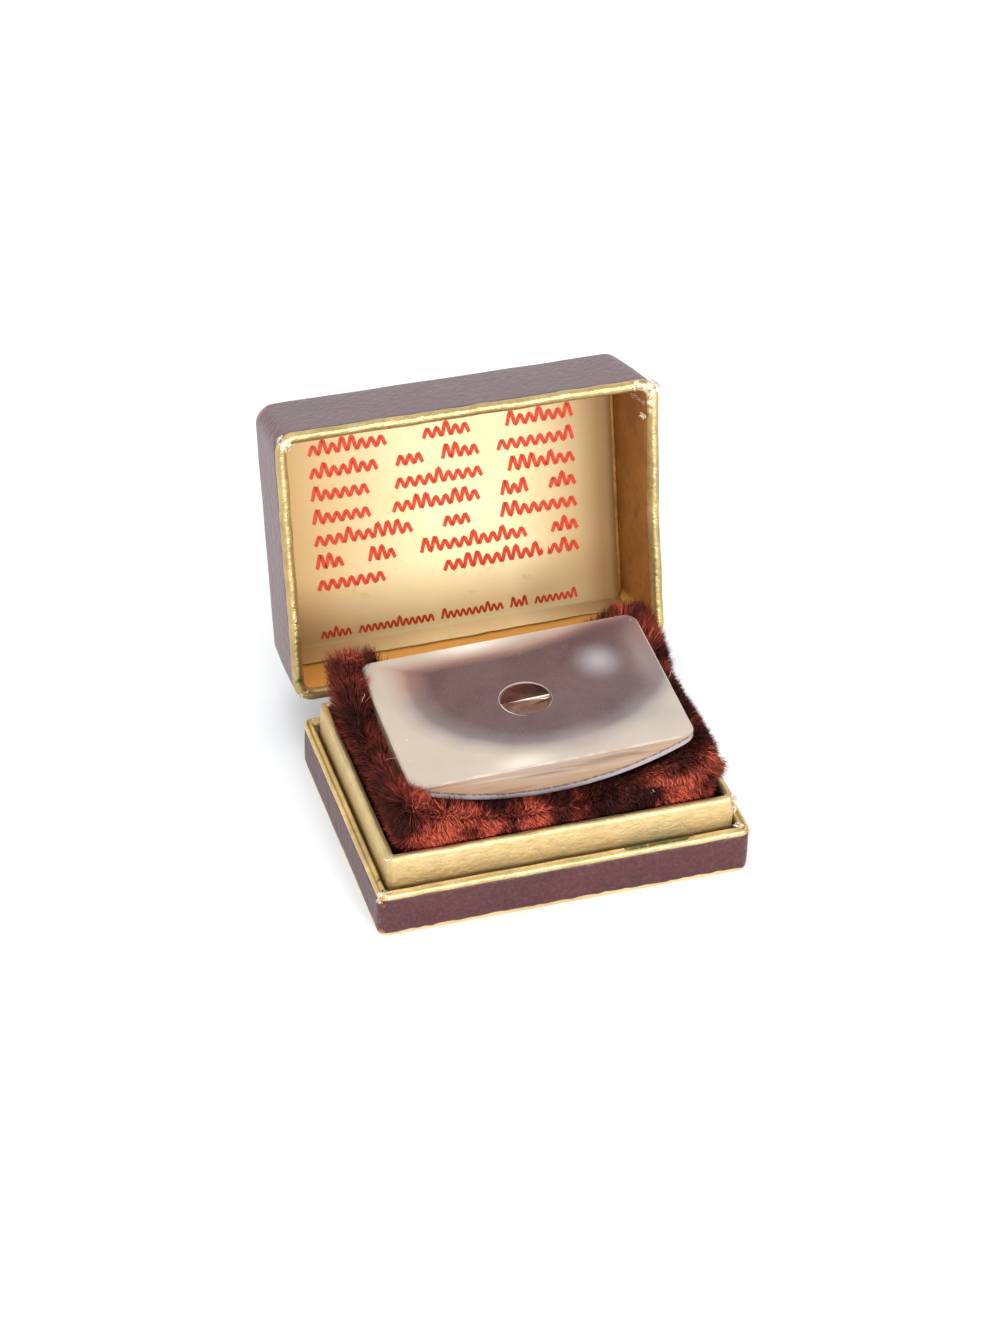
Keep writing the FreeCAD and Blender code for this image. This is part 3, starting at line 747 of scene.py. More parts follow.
def make_neck_sleeve():
    pts, nrm = outline(0, NECK_W, NECK_D, NECK_R, 0.45)
    sleeve = [(0.0, 2.1), (0.02, 5.0), (0.03, 8.0), (0.02, 10.2), (-0.03, 10.45), (-0.13, 10.64)]
    sleeve += [(-0.28, 10.77)]
    sleeve += [(-0.5, 10.81), (-0.72, 10.79), (-0.9, 10.7), (-1.02, 10.5), (-1.07, 10.2), (-1.08, 7.9)]
    sleeve += [(-0.97, 7.9), (-0.95, 10.4), (-0.85, 10.6), (-0.5, 10.67), (-0.2, 10.6), (-0.14, 10.3)]
    sleeve += [(-0.15, 2.1)]
    verts, faces = sweep(pts, nrm, sleeve)
    verts = wobble(verts, 0.07, 5.0, 41)
    verts = wobble(verts, 0.025, 1.1, 44)
    fray = blobs(verts, [
        (23.3, -16.9, 10.8, 2.3, 0.95), (23.3, -16.9, 8.6, 1.8, 0.9),
        (-23.3, -16.9, 10.8, 1.1, 0.6), (-23.3, 16.9, 10.8, 1.5, 0.7),
    ])
    green = blobs(verts, [(x, -16.9, 6.3, 1.5, 0.95) for x in STAIN_X] + [
        (17.3, -16.9, 6.2, 1.2, 0.7), (-6.0, -16.9, 6.6, 1.6, 0.55),
    ])
    ob = build("neck_gilt_sleeve", verts, faces, MAT["neck"], "base", attrs={"green": green, "fray": fray})
    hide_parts("neck_gilt_paper")


def lid_rings(profile, skew=LID_SKEW, closed=False):
    """Rings round the shut lid; profile is [(outward, height)]."""
    pts, nrm = outline(LID_SHIFT, LID_W, LID_D, LID_CORNER, 0.45, 14)
    verts, faces = sweep(pts, nrm, [(o, LID_Z0 + h) for o, h in profile], closed)
    return draft(verts, skew), faces


def make_lid_covering():
    wall = [(0.0, 0.86), (0.05, 1.1), (0.08, 2.0), (0.10, 4.0), (0.12, 7.0), (0.10, 10.0), (0.06, 12.5)]
    for k in range(8):
        a = math.radians(90 * k / 7)
        wall.append((0.02 - LID_EDGE * (1 - math.cos(a)), LID_H - LID_EDGE + LID_EDGE * math.sin(a)))
    verts, faces = lid_rings(wall)
    faces = list(map(tuple, faces))
    m = len(wall)
    n = len(verts) // m
    last = verts[-n:]
    rings = [verts]
    for share in (0.97, 0.9, 0.78, 0.62, 0.45, 0.28, 0.12):
        ring = last.copy()
        ring[:, 0] = LID_SHIFT + (last[:, 0] - LID_SHIFT) * share
        ring[:, 1] = last[:, 1] * share
        ring[:, 2] += 0.1 * (1 - share)
        rings.append(ring)
        faces += ring_quads(n, m - 1, m)
        m += 1
    faces += fan((m - 1) * n, n, m * n)
    verts = np.vstack(rings + [[[LID_SHIFT, 0, LID_Z0 + LID_H + 0.1]]])
    verts = wobble(verts, 0.07, 5.0, 61)
    h = verts[:, 2] - LID_Z0
    corner_x = LID_W / 2 - LID_DRAFT[0] - 0.6
    corner_y = LID_D / 2 - LID_DRAFT[1] - 0.6
    corner = np.hypot(np.abs(verts[:, 0] - LID_SHIFT) - corner_x, np.abs(verts[:, 1]) - corner_y)
    crown = np.clip(1 - np.hypot(corner, h - LID_H + 0.3) / 3.2, 0, 1)
    upright = np.clip(1 - corner / 1.6, 0, 1) * 0.42
    low = np.clip(1 - (h - 0.86) / 0.4, 0, 1) * 0.42
    wear = np.maximum.reduce([crown, upright, low])
    ob = build("lid_leatherette", open_lid(verts), faces, MAT["leather"], "lid", attrs={"wear": wear})
    thicken(ob, 0.18)
    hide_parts("lid_covering")


def make_lid_rim():
    bead = [(-0.12, 0.93), (0.03, 0.88), (0.09, 0.68), (0.08, 0.46), (-0.02, 0.24), (-0.18, 0.09)]
    bead += [(-0.40, 0.0)]
    bead += [(-0.66, -0.03), (-0.92, 0.0), (-1.14, 0.1), (-1.32, 0.26), (-1.44, 0.48), (-1.5, 0.74)]
    bead += [(-1.46, 0.98), (-1.3, 1.16), (-1.14, 1.2), (-1.02, 0.92)]
    verts, faces = lid_rings(bead, closed=True)
    verts = wobble(verts, 0.06, 2.4, 81)
    fray = blobs(verts, [
        (LID_LEFT + 1.3, -17.7, LID_Z0, 2.4, 0.98), (LID_LEFT + 1.0, 17.8, LID_Z0, 2.2, 0.75),
        (LID_RIGHT - 1.0, -17.6, LID_Z0, 3.6, 1.0), (LID_RIGHT - 0.6, -14.4, LID_Z0, 1.8, 0.8),
        (LID_RIGHT - 1.0, 17.8, LID_Z0, 2.0, 0.7),
    ])
    green = blobs(verts, [(LID_LEFT + 0.7, 16.0, LID_Z0, 2.0, 0.6)])
    ob = build("lid_gilt_rim", open_lid(verts), faces, MAT["bead"], "lid", attrs={
        "green": green, "fray": fray})
    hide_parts("lid_gilt_edge")


def make_lid_lining():
    deep = 13.42
    lining = [(-1.12, 1.0), (-1.11, 2.0), (-1.10, 4.0), (-1.10, 6.5), (-1.10, 9.0), (-1.10, 11.0)]
    lining += [(-1.11, 12.6), (-1.13, deep)]
    verts, faces = lid_rings(lining, skew=0.0)
    faces = faces[:, ::-1]
    verts = wobble(verts, 0.05, 3.0, 91)
    h = verts[:, 2] - LID_Z0
    ends = [np.clip((h - deep + 1.6) / 1.6, 0, 1) * 0.55, np.clip(1 - (h - 1.0) / 1.4, 0, 1) * 0.5]
    marks = blobs(verts, [
        (LID_RIGHT - 1.2, 2.5, LID_Z0 + 6.5, 2.2, 0.9), (LID_RIGHT - 1.2, -7.0, LID_Z0 + 3.0, 2.4, 0.6),
    ])
    dark_patches_and_ends = np.maximum.reduce([*ends, marks])
    # Painted light on the wall by the hinge, painted shade on the right wall.
    painted_light_by_hinge = np.clip((verts[:, 1] - 15) / 2.5, 0, 1)
    painted_shade_on_right = np.clip((verts[:, 0] - 22) / 2, 0, 1) * (verts[:, 1] < 16)
    ob = build("lid_side_lining", open_lid(verts), faces, MAT["amber"], "lid", attrs={
        "dark_patches_and_ends": dark_patches_and_ends, "side": painted_light_by_hinge - painted_shade_on_right})
    thicken(ob, 0.1)
    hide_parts("lid_wall_lining")


NOTICE_H, TURN_UP = 13.24, 4.4


def make_notice_card():
    """The card in the lid, with its turned-up margin by the hinge."""
    y_front, y_back = -16.4, 17.2
    rows = [(y, NOTICE_H) for y in np.linspace(y_front, y_back - 0.5, 34)]
    for k in range(1, 6):
        a = math.radians(90 * k / 5)
        rows.append((y_back - 0.5 + 0.34 * math.sin(a), NOTICE_H - 0.4 * (1 - math.cos(a))))
    for k in range(1, 9):
        rows.append((y_back - 0.14 + 0.043 * TURN_UP * k / 8, NOTICE_H - 0.4 - (TURN_UP - 0.5) * k / 8))
    xs = np.linspace(LID_SHIFT - 23.75, LID_SHIFT + 23.85, 48)
    verts = np.array([(x, y, LID_Z0 + h) for y, h in rows for x in xs])
    nx = len(xs)
    verts[:, 2] += 0.05 * lattice_noise(verts * np.array([1, 1, 0]), 7.0, 101)
    foot = verts[-nx:]
    along = foot * np.array([1, 0, 0])
    foot[:, 2] += 0.5 * lattice_noise(along, 9.0, 103) + 0.12 * lattice_noise(along, 2.0, 104)
    faces = np.array([(j * nx + i, (j + 1) * nx + i, (j + 1) * nx + i + 1, j * nx + i + 1)
                      for j in range(len(rows) - 1) for i in range(nx - 1)])
    ob = build("notice_card", open_lid(verts), faces, MAT["notice"], "lid", attrs={"u": verts[:, 0]})
    thicken(ob, 0.1)
    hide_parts("lid_notice_card")


def make_notice_marks():
    """Rows of plain printed waves; each row is (y, waves in each group)."""
    rng = np.random.RandomState(7)
    text_left, text_right = -18.6, 19.1
    lines = [(-10.6, (8, 5, 7)), (-7.3, (7, 3, 4, 8)), (-4.05, (6, 9, 7)), (-0.7, (6, 9, 3, 3)),
             (2.5, (10, 3, 8)), (5.85, (3, 3, 11, 3)), (9.0, (7, 14))]
    marks_v, marks_f = [], []
    z = LID_Z0 + NOTICE_H - 0.03

    def ribbon(path, half):
        """A flat printed stroke along a path in the card's plane."""
        path = np.array(path, float)
        tangent = unit(np.gradient(path, axis=0))
        side = np.c_[-tangent[:, 1], tangent[:, 0]] * half
        marks_f.extend(tube_faces(len(marks_v), len(path)))
        for p, s in zip(path, side):
            for sign, dz in ((1, 0), (-1, 0), (-1, 0.02), (1, 0.02)):
                marks_v.append((p[0] + sign * s[0], p[1] + sign * s[1], z + dz))

    def wave_word(x_start, x_end, y, letters, height, half):
        beats = max(2, letters)
        t = np.linspace(0, beats, beats * 9)
        lift = 0.5 - 0.5 * np.cos(2 * math.pi * t)
        tall = 1.0 + 0.55 * (rng.rand(beats + 1) > 0.72)
        lift = lift * tall[np.minimum(t.astype(int), beats)]
        xs_word = x_start + half + (x_end - x_start - 2 * half) * t / beats
        ribbon(np.c_[xs_word, y - height * lift], half)

    for y, words in lines:
        pitch = 1.42
        ink = sum(words) * pitch
        gap = (text_right - text_left - ink) / (len(words) - 1)
        if gap < 1.2:
            pitch *= (text_right - text_left - 1.2 * (len(words) - 1)) / ink
            gap = 1.2
        x = text_left
        for letters in words:
            wave_word(x, x + letters * pitch, y, letters, 1.3, 0.27)
            x += letters * pitch + gap
    x = text_left
    for letters in (5, 12, 10, 3, 7):
        wave_word(x, x + letters * 0.92, 16.1, letters, 0.95, 0.17)
        x += letters * 0.92 + 0.75
    ob = build("notice_marks", open_lid(marks_v), marks_f, MAT["ink"], "lid", smooth=False)


# ------------------------------------------------------------------ lens frame
LENS_W, LENS_D, LENS_CORNER, LENS_BEVEL = 38.0, 27.0, 1.8, 0.22
LENS_R, LENS_T = 46.0, 7.1
LENS_TILT, LENS_TURN = math.radians(-2.3), math.radians(-0.95)
LENS_AT = np.array([0.0, 0.1, 19.15])
SPOT_R, SPOT_DEPTH = 3.45, 1.1


def place_lens(verts):
    """From the lens's own frame (top face centre) to the row frame."""
    v = np.asarray(verts, float)
    c, s = math.cos(LENS_TILT), math.sin(LENS_TILT)
    x, y, z = v[:, 0] * c + v[:, 2] * s, v[:, 1], -v[:, 0] * s + v[:, 2] * c
    c, s = math.cos(LENS_TURN), math.sin(LENS_TURN)
    return np.c_[x * c - y * s, x * s + y * c, z] + LENS_AT


def lens_local(points):
    """From the row frame to the lens's own frame."""
    v = np.asarray(points, float) - LENS_AT
    c, s = math.cos(-LENS_TURN), math.sin(-LENS_TURN)
    x, y, z = v[:, 0] * c - v[:, 1] * s, v[:, 0] * s + v[:, 1] * c, v[:, 2]
    c, s = math.cos(-LENS_TILT), math.sin(-LENS_TILT)
    return np.c_[x * c + z * s, y, -x * s + z * c]


def lens_belly(x, y):
    """Height of the convex underside below the top face."""
    return LENS_R - LENS_T - np.sqrt(np.maximum(LENS_R ** 2 - x ** 2 - y ** 2, 1.0))


def make_lens():
    """The lens; kinds are 0 ground, 1 polished, 2 flank, 3 underside, 4 floor of the recess."""
    pts, nrm = outline(0, LENS_W, LENS_D, LENS_CORNER, 0.6, 12)
    n = len(pts)
    inner = pts - nrm * LENS_BEVEL
    lip = pts - nrm * 0.22
    angle = np.arctan2(inner[:, 1], inner[:, 0])
    hole = np.c_[np.cos(angle), np.sin(angle)] * (SPOT_R + 0.06)
    well = hole * (SPOT_R / (SPOT_R + 0.06))
    belly = lens_belly(*pts.T)
    rings, kinds, rise = [], [], []

    def add(xy, z, kind, up=0.0):
        rings.append(np.c_[xy, np.broadcast_to(z, n)])
        kinds.append(kind)
        rise.append(np.broadcast_to(up, n))

    add(well, -SPOT_DEPTH, 2, 9)
    add(well, -0.06, 1, 9)
    add(hole, 0.0, 0, 9)
    for t in (0.15, 0.3, 0.45, 0.6, 0.75, 0.9):
        add(hole + (inner - hole) * t, 0.0, 0, 9)
    add(inner, 0.0, 1, 9)
    add(pts - nrm * 0.05, -0.17, 1, 9)
    add(pts, -LENS_BEVEL, 2, -LENS_BEVEL - belly)
    for t in (0.12, 0.25, 0.38, 0.5, 0.62, 0.74, 0.86, 0.94):
        z = -LENS_BEVEL + (belly + 0.1 + LENS_BEVEL) * t
        add(pts, z, 2, z - belly)
    add(pts, belly + 0.1, 3, 0.1)
    add(lip, lens_belly(*lip.T), 3)
    for t in (0.95, 0.88, 0.8, 0.7, 0.6, 0.5, 0.4, 0.3, 0.2, 0.1):
        add(pts * t, lens_belly(pts[:, 0] * t, pts[:, 1] * t), 3)
    verts = np.vstack(rings + [[[0, 0, -LENS_T]]])
    last = len(rings) - 1
    faces, slots = [], []
    for j in range(last):
        faces += [f[::-1] for f in ring_quads(n, j, j + 1)]
        slots += [kinds[j]] * n
    faces += [tuple(range(n))] + [f[::-1] for f in fan(last * n, n, len(verts) - 1)]
    slots += [4] + [3] * n
    mats = [MAT[kind] for kind in ("ground", "polish", "flank", "belly", "recess")]
    ob = build("field_lens_glass", place_lens(verts), faces, mats, "lens", face_slots=slots, attrs={
        "rise": np.r_[np.concatenate(rise), 0], "u": verts[:, 0], "v": verts[:, 1]})
    crisp_edges(ob)
    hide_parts("field_lens")


def make_wedge(name, node, sign, glass):
    """One half of the split spot, on the side of the sign of y."""
    radius, low, gap = SPOT_R - 0.05, 0.09, 0.05
    slope = math.tan(math.radians(4.0))
    arc = np.linspace(0, math.pi, 40)
    rim = np.c_[np.cos(arc), np.sin(arc) * sign] * radius
    split = np.c_[np.linspace(-1, 1, 20)[1:-1] * radius, np.full(18, sign * gap)]
    rim = np.vstack([rim, split])
    rim[:, 1] = sign * np.maximum(sign * rim[:, 1], gap)
    k = len(rim)
    centre = np.array([0.0, sign * radius * 0.42])

    def tier(inset, drop):
        xy = rim + (centre - rim) * inset / np.linalg.norm(centre - rim, axis=1)[:, None]
        top = -low + (xy[:, 0] * sign) * slope * 0.5 - 0.1
        return np.c_[xy, top - drop]

    foot = tier(0.0, 0.1)
    foot[:, 2] = -SPOT_DEPTH + 0.02
    face = tier(0.11, 0.0)
    if sign < 0:
        across = np.clip((face[:, 0] + radius) / (2 * radius), 0, 1)
        face[:, 1] -= 0.85 * across ** 5 * (face[:, 1] > -0.3)
    stack = [foot, tier(0.0, 0.1), face, face + [0, 0, -0.001]]
    verts = np.vstack(stack + [[[*centre, -low - 0.1]]])
    faces = [f for j in range(3) for f in ring_quads(k, j, j + 1)] + fan(3 * k, k, 4 * k)
    faces = [f[::sign] for f in faces] + [tuple(range(k))[::-sign]]
    slots = [0] * 2 * k + [1] * 2 * k + [0]
    ob = build(name, place_lens(verts), faces, [MAT["wedge_rim_painted_highlight"], MAT[glass]], "lens",
               smooth=False, face_slots=slots, attrs={"u": verts[:, 0], "v": verts[:, 1]})
    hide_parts(node)


# ------------------------------------------------------------------ plush pad
PAD_W, PAD_D, PAD_R, PAD_FOOT, PAD_TOP = 41.8, 29.4, 2.0, 3.4, 17.3
SEAT_R = 47.0
SEAT_C = place_lens([[0, 0, LENS_R - LENS_T]])[0]


def seat_height(x, y):
    """Height of the hollow the lens sits in, or of the pad's level top."""
    r2 = (x - SEAT_C[0]) ** 2 + (y - SEAT_C[1]) ** 2
    return np.minimum(SEAT_C[2] - np.sqrt(np.maximum(SEAT_R ** 2 - r2, 1.0)), PAD_TOP)


def plush(ob):
    """Returns the piece unchanged."""
    return ob


def keep_in(p):
    """Holds fibre ends inside the neck below its top, inside the shut lid above."""
    inside = p[:, 2] < 10.95
    p[:, 0] = np.where(inside, np.clip(p[:, 0], -22.1, 22.1), np.clip(p[:, 0], -23.6, 23.6))
    p[:, 1] = np.where(inside, np.clip(p[:, 1], -15.62, 15.62), np.clip(p[:, 1], -16.95, 16.85))
    p[:, 2] = np.clip(p[:, 2], 2.6, 19.7)


def clear_of_lens(p):
    """True where a point is outside the lens."""
    q = lens_local(p)
    within = (np.abs(q[:, 0]) < LENS_W / 2 + 0.03) & (np.abs(q[:, 1]) < LENS_D / 2 + 0.03)
    return ~(within & (q[:, 2] > lens_belly(q[:, 0], q[:, 1]) - 0.02) & (q[:, 2] < 0.25))


def fibres(name, root, normal, lean, length, width, tone, seed, bent=False):
    """Thin tapering strands rooted on the pad: one triangle each, or three if bent."""
    rng = np.random.RandomState(seed)
    n = len(root)
    first = unit(normal + lean + 0.26 * rng.randn(n, 3))
    second = unit(first + 0.6 * lean + 0.18 * rng.randn(n, 3) + np.array([0, 0, -0.12]))
    p0 = root - normal * 0.12
    p1 = root + first * (0.55 * length)[:, None]
    p2 = p1 + second * (0.45 * length)[:, None]
    keep_in(p1)
    keep_in(p2)
    ok = clear_of_lens(p1) & clear_of_lens(0.5 * (p1 + p2)) & clear_of_lens(p2)
    side = unit(np.cross(first, rng.randn(n, 3))) * (width / 2)[:, None]
    if bent:
        verts = np.stack([p0 + side, p0 - side, p1 + side * 0.8, p1 - side * 0.8, p2], axis=1)[ok]
        pattern, tip = np.array([[0, 1, 3], [0, 3, 2], [2, 3, 4]]), [0.0, 0.0, 0.6, 0.6, 1.0]
    else:
        verts = np.stack([p0 + side, p0 - side, p2], axis=1)[ok]
        pattern, tip = np.array([[0, 1, 2]]), [0.0, 0.0, 1.0]
    m, k = len(verts), len(tip)
    faces = ((np.arange(m) * k)[:, None, None] + pattern).reshape(-1, 3)
    ob = build(name, verts.reshape(-1, 3), faces, MAT["plush_pile"], "base",
               attrs={"tip": np.tile(tip, m), "tone": np.repeat(tone[ok], k)})
    soft = unit(normal[ok] + 0.8 * (first[ok] - normal[ok]) + 0.25 * unit(side[ok]))
    ob.data.normals_split_custom_set_from_vertices(np.repeat(soft, k, axis=0).tolist())
    plush(ob)


def clump(p, size, seed):
    """Slope of a noise field: neighbouring fibres lean the same way."""
    e = size * 0.2
    base = lattice_noise(p, size, seed)
    return np.stack([(lattice_noise(p + e * np.eye(3)[k], size, seed) - base) for k in range(3)], axis=1)


def along_surface(lean, normal):
    return lean - normal * np.sum(lean * normal, axis=1)[:, None]


def make_pad_ground():
    pts, nrm = outline(0, PAD_W, PAD_D, PAD_R, 0.5, 10)
    n = len(pts)
    rim = seat_height(*pts.T)
    rings = [np.c_[pts, PAD_FOOT + (rim - 1.0 - PAD_FOOT) * t] for t in np.linspace(0, 1, 22)]
    for k in range(1, 6):
        a = math.radians(90 * k / 5)
        xy = pts - nrm * (1.0 - math.cos(a))
        rings.append(np.c_[xy, rim - 1.0 + math.sin(a) * (seat_height(*xy.T) - rim + 1.0)])
    for share in (0.97, 0.93, 0.88, 0.82, 0.75, 0.67, 0.58, 0.48, 0.37, 0.25, 0.12):
        xy = (pts - nrm) * share
        rings.append(np.c_[xy, seat_height(*xy.T)])
    verts = np.vstack(rings + [[[0, 0, seat_height(0, 0)]], [[0, 0, PAD_FOOT]]])
    last = len(rings) - 1
    faces = [f for j in range(last) for f in ring_quads(n, j, j + 1)]
    faces += fan(last * n, n, len(verts) - 2)
    faces += [(b, a, hub) for a, b, hub in fan(0, n, len(verts) - 1)]
    ob = build("plush_ground", wobble(verts, 0.12, 2.2, 131), faces, MAT["plush_ground"], "base")
    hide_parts("plush_cover")


def wall_roots(rng, total):
    """Roots over the pad's upright sides and their rounded top edge."""
    pts, nrm = outline(0, PAD_W, PAD_D, PAD_R, 0.5, 10)
    seg = np.linalg.norm(np.roll(pts, -1, axis=0) - pts, axis=1)
    cum = np.r_[0, np.cumsum(seg)]
    where = rng.rand(total) * cum[-1]
    idx = np.searchsorted(cum, where, side="right") - 1
    f = ((where - cum[idx]) / seg[idx])[:, None]
    nxt = (idx + 1) % len(pts)
    xy = pts[idx] * (1 - f) + pts[nxt] * f
    out = nrm[idx] * (1 - f) + nrm[nxt] * f
    top = seat_height(*xy.T)
    low = 7.2
    z = low + (top + 0.3 - low) * rng.rand(total) ** 0.85
    a = np.clip((z - (top - 1.0)) / 1.3, 0, 1) * math.pi / 2
    root = np.c_[xy - out * (1 - np.cos(a))[:, None], np.minimum(z, top - 1.0 + np.sin(a))]
    return root, np.c_[out * np.cos(a)[:, None], np.sin(a)]


def border_roots(rng, total):
    """Roots over the level border round the lens."""
    border = []
    while sum(map(len, border)) < total:
        p = (rng.rand(60000, 2) - 0.5) * [PAD_W - 1.2, PAD_D - 1.2]
        q = lens_local(np.c_[p, np.full(len(p), 18.0)])
        outside = (np.abs(q[:, 0]) > LENS_W / 2 - 0.7) | (np.abs(q[:, 1]) > LENS_D / 2 - 0.7)
        border.append(p[outside])
    border = np.vstack(border)[:total]
    return np.c_[border, seat_height(*border.T)], np.tile([0.0, 0, 1], (total, 1))


def make_pile():
    rng = np.random.RandomState(17)
    walls, roof = wall_roots(rng, 125000), border_roots(rng, 34000)
    root, normal = np.vstack([walls[0], roof[0]]), np.vstack([walls[1], roof[1]])
    count = len(root)
    x, y, z = root.T
    seat = seat_height(x, y)
    upright, level = normal[:, 2] < 0.4, normal[:, 2] > 0.4
    rear = y > 2
    high = np.clip((z - 11.5) / 4.5, 0, 1)
    to_corner = np.hypot(np.abs(x) - PAD_W / 2, np.abs(y) - PAD_D / 2)
    corner = np.clip(1.25 - to_corner / np.where(rear, 8.5, 5.0), 0, 1)
    flank = np.clip((-x - 17.5) / 2, 0, 1) * level
    collar = np.clip(1 - np.abs(z - 10.6) / 2.4, 0, 1) * upright
    rim_back = np.clip((y - 12.8) / 1.2, 0, 1) * np.clip((np.abs(x - 1.0) - 6.0) / 4, 0, 1) * (z > 15.5)
    tall = rim_back * np.clip(1 - np.abs(x + 15.0) / 5.0, 0, 1)
    bulge = np.clip((-x - 19.5), 0, 1) * np.clip((y - 4) / 6, 0, 1) * (z > 12)
    tuft = np.linalg.norm(root - np.array([20.9, -14.4, 14.5]), axis=1) < 1.6
    brow = (y < -14) & (z > seat - 1.2)

    lean = along_surface(0.6 * clump(root, 1.2, 141) + 1.3 * clump(root, 3.6, 142), normal)
    centre = np.c_[root[:, :2] / [PAD_W / 2, PAD_D / 2], np.zeros(count)]
    lean += 0.45 * centre * [0.6, 1, 1] * (normal[:, 2:3] > 0.5) * np.where(root[:, :1] < -17, -0.5, 1.0)
    comb = [lattice_noise(root, 6.0, 151) * 0.35, lattice_noise(root, 6.0, 152) * 0.2]
    comb = np.c_[comb[0], comb[1], 0.05 + lattice_noise(root, 5.0, 153) * 0.6]
    lean += comb * (1 - normal[:, 2:3] ** 2)
    lean *= 1 - 0.6 * collar[:, None]
    lean += rim_back[:, None] * np.array([0.0, 0.25, 0.35])
    lean += tall[:, None] * np.array([0.0, 0.0, 0.8])
    lean += (corner * high * rear)[:, None] * np.array([0.0, 0.15, 0.55])
    lean = np.where(tuft[:, None], lean + np.array([0.8, -0.35, 0.15]), lean)
    lean += brow[:, None] * np.array([0.0, 0.15, 0.9]) * np.clip(0.9 - root[:, :1] / 14, 0.25, 1)

    length = 1.0 + 0.25 * lattice_noise(root, 1.9, 161) + (0.45 + 1.5 * rear) * corner * high
    length = length + 0.35 * rng.rand(count)
    length += 0.75 * high * np.clip(-x / 20 - 0.6, 0, 0.4) * 2.5
    length += 0.55 * flank + 0.9 * rim_back
    length += 1.5 * tall
    length += 0.55 * bulge
    length = length * (0.72 + 0.28 * np.clip((z - 9.5) / 2, 0, 1)) + 0.4 * collar
    length = np.where(tuft, length + 0.9, length)
    length += 0.7 * brow * np.clip(0.8 - x / 16, 0.25, 1)
    width = 0.085 + 0.05 * rng.rand(count)

    # Painted light and shade: front-facing fibres lighter, left-facing fibres darker.
    tone = 0.40 + 0.14 * (normal[:, 1] < -0.5) - 0.17 * (normal[:, 0] < -0.5)
    tone = tone + 0.50 * lattice_noise(root, 2.9, 171) + 0.34 * lattice_noise(root, 1.2, 172)
    # Painted shade under the lens's front edge: darker at the top of the front wall.
    tone -= 0.30 * np.clip((z - seat + 1.6) / 1.6, 0, 1) * (np.abs(x) < 17) * (y < 0)
    tone += blobs(root, [
        (-16.4, -14.7, 12.0, 4.8, 0.8), (-10.2, -14.7, 11.6, 2.8, 0.4),
        (-4.2, -14.7, 12.4, 3.4, 0.8), (17.0, -14.7, 11.2, 4.6, 0.62),
    ])
    tone -= blobs(root, [
        (6.0, -14.7, 12.2, 5.0, 0.4), (11.2, -14.7, 13.0, 3.6, 0.6), (-7.6, -14.7, 10.3, 2.2, 0.45),
        (-19.9, -14.6, 13.2, 2.2, 0.3), (-20.9, -13, 14, 3.0, 0.3), (-19, 13.5, 17.5, 4.0, 0.22),
    ])
    tone = np.clip(tone + 0.13 * rng.randn(count), 0, 1)
    fibres("plush_pile", root, normal, lean, length, width, tone, 19)
    stray = rng.permutation(np.nonzero((high > 0.25) | (rng.rand(count) > 0.85))[0])[:15000]
    fibres("plush_fuzz", root[stray], normal[stray], lean[stray] * 1.15, length[stray] * 1.18 + 0.1,
           width[stray] * 0.8, np.clip(tone[stray] + 0.06, 0, 1), 23, bent=True)


def make_seat_nap():
    """Short pile combed one way in the hollow under the lens."""
    rng = np.random.RandomState(29)
    count = 30000
    flat = (rng.rand(count, 2) - 0.5) * [LENS_W - 0.6, LENS_D - 0.6]
    root = np.c_[flat, seat_height(*flat.T)]
    up = SEAT_C - root
    up /= np.linalg.norm(up, axis=1)[:, None]
    lean = 1.0 * clump(root, 1.6, 181) + 1.6 * clump(root, 4.5, 182) + np.array([0.5, -0.7, 0.0])
    lean = along_surface(lean, up) * 1.5
    tone = 0.46 + 0.45 * lattice_noise(root, 4.0, 183) + 0.3 * lattice_noise(root, 1.4, 184)
    tone = np.clip(tone + 0.12 * rng.randn(count), 0, 1)
    length = 0.8 + 0.45 * rng.rand(count)
    width = 0.11 + 0.05 * rng.rand(count)
    fibres("plush_seat_nap", root, up, lean, length, width, tone, 37)


# ------------------------------------------------------------------ scraps and threads
SCRAP_COLS, SCRAP_ROWS = 6, 4


def scrap(rng, place, normal, reach, size, opened):
    """Points of one curled scrap, held clear of the rim it would otherwise cut."""
    level = abs(normal[2]) > 0.8
    a = np.cross(normal, rng.randn(3))
    a /= np.linalg.norm(a)
    b = np.cross(normal, a)
    at = np.array(place) + (a * rng.randn() + b * rng.randn()) * 0.5 * np.array(reach)
    at = at + normal * (0.0 if level else 0.08)
    wide, tall = size * (0.4 + 0.9 * rng.rand()), size * (0.2 + 0.5 * rng.rand())
    curl = (0.03 if level else 0.15 + 0.5 * rng.rand()) * size
    points = []
    for j in range(SCRAP_ROWS):
        for i in range(SCRAP_COLS):
            s, t = i / (SCRAP_COLS - 1) - 0.5, j / (SCRAP_ROWS - 1) - 0.5
            ragged = 1 + 0.35 * rng.randn() * (abs(s) > 0.4 or abs(t) > 0.4)
            p = at + a * wide * s * ragged + b * tall * t * ragged
            p = p + normal * (curl * (s + t) ** 2 + 0.03 * rng.rand())
            if opened:
                p[2] = max(p[2], LID_Z0 - 0.04)
            elif place[2] > 7:
                p[:2] = np.clip(p[:2], [-23.65, -17.15], [23.65, 17.15])
            else:
                p[2] = min(p[2], LID_Z0 - 0.07)
            points.append(p)
    return points


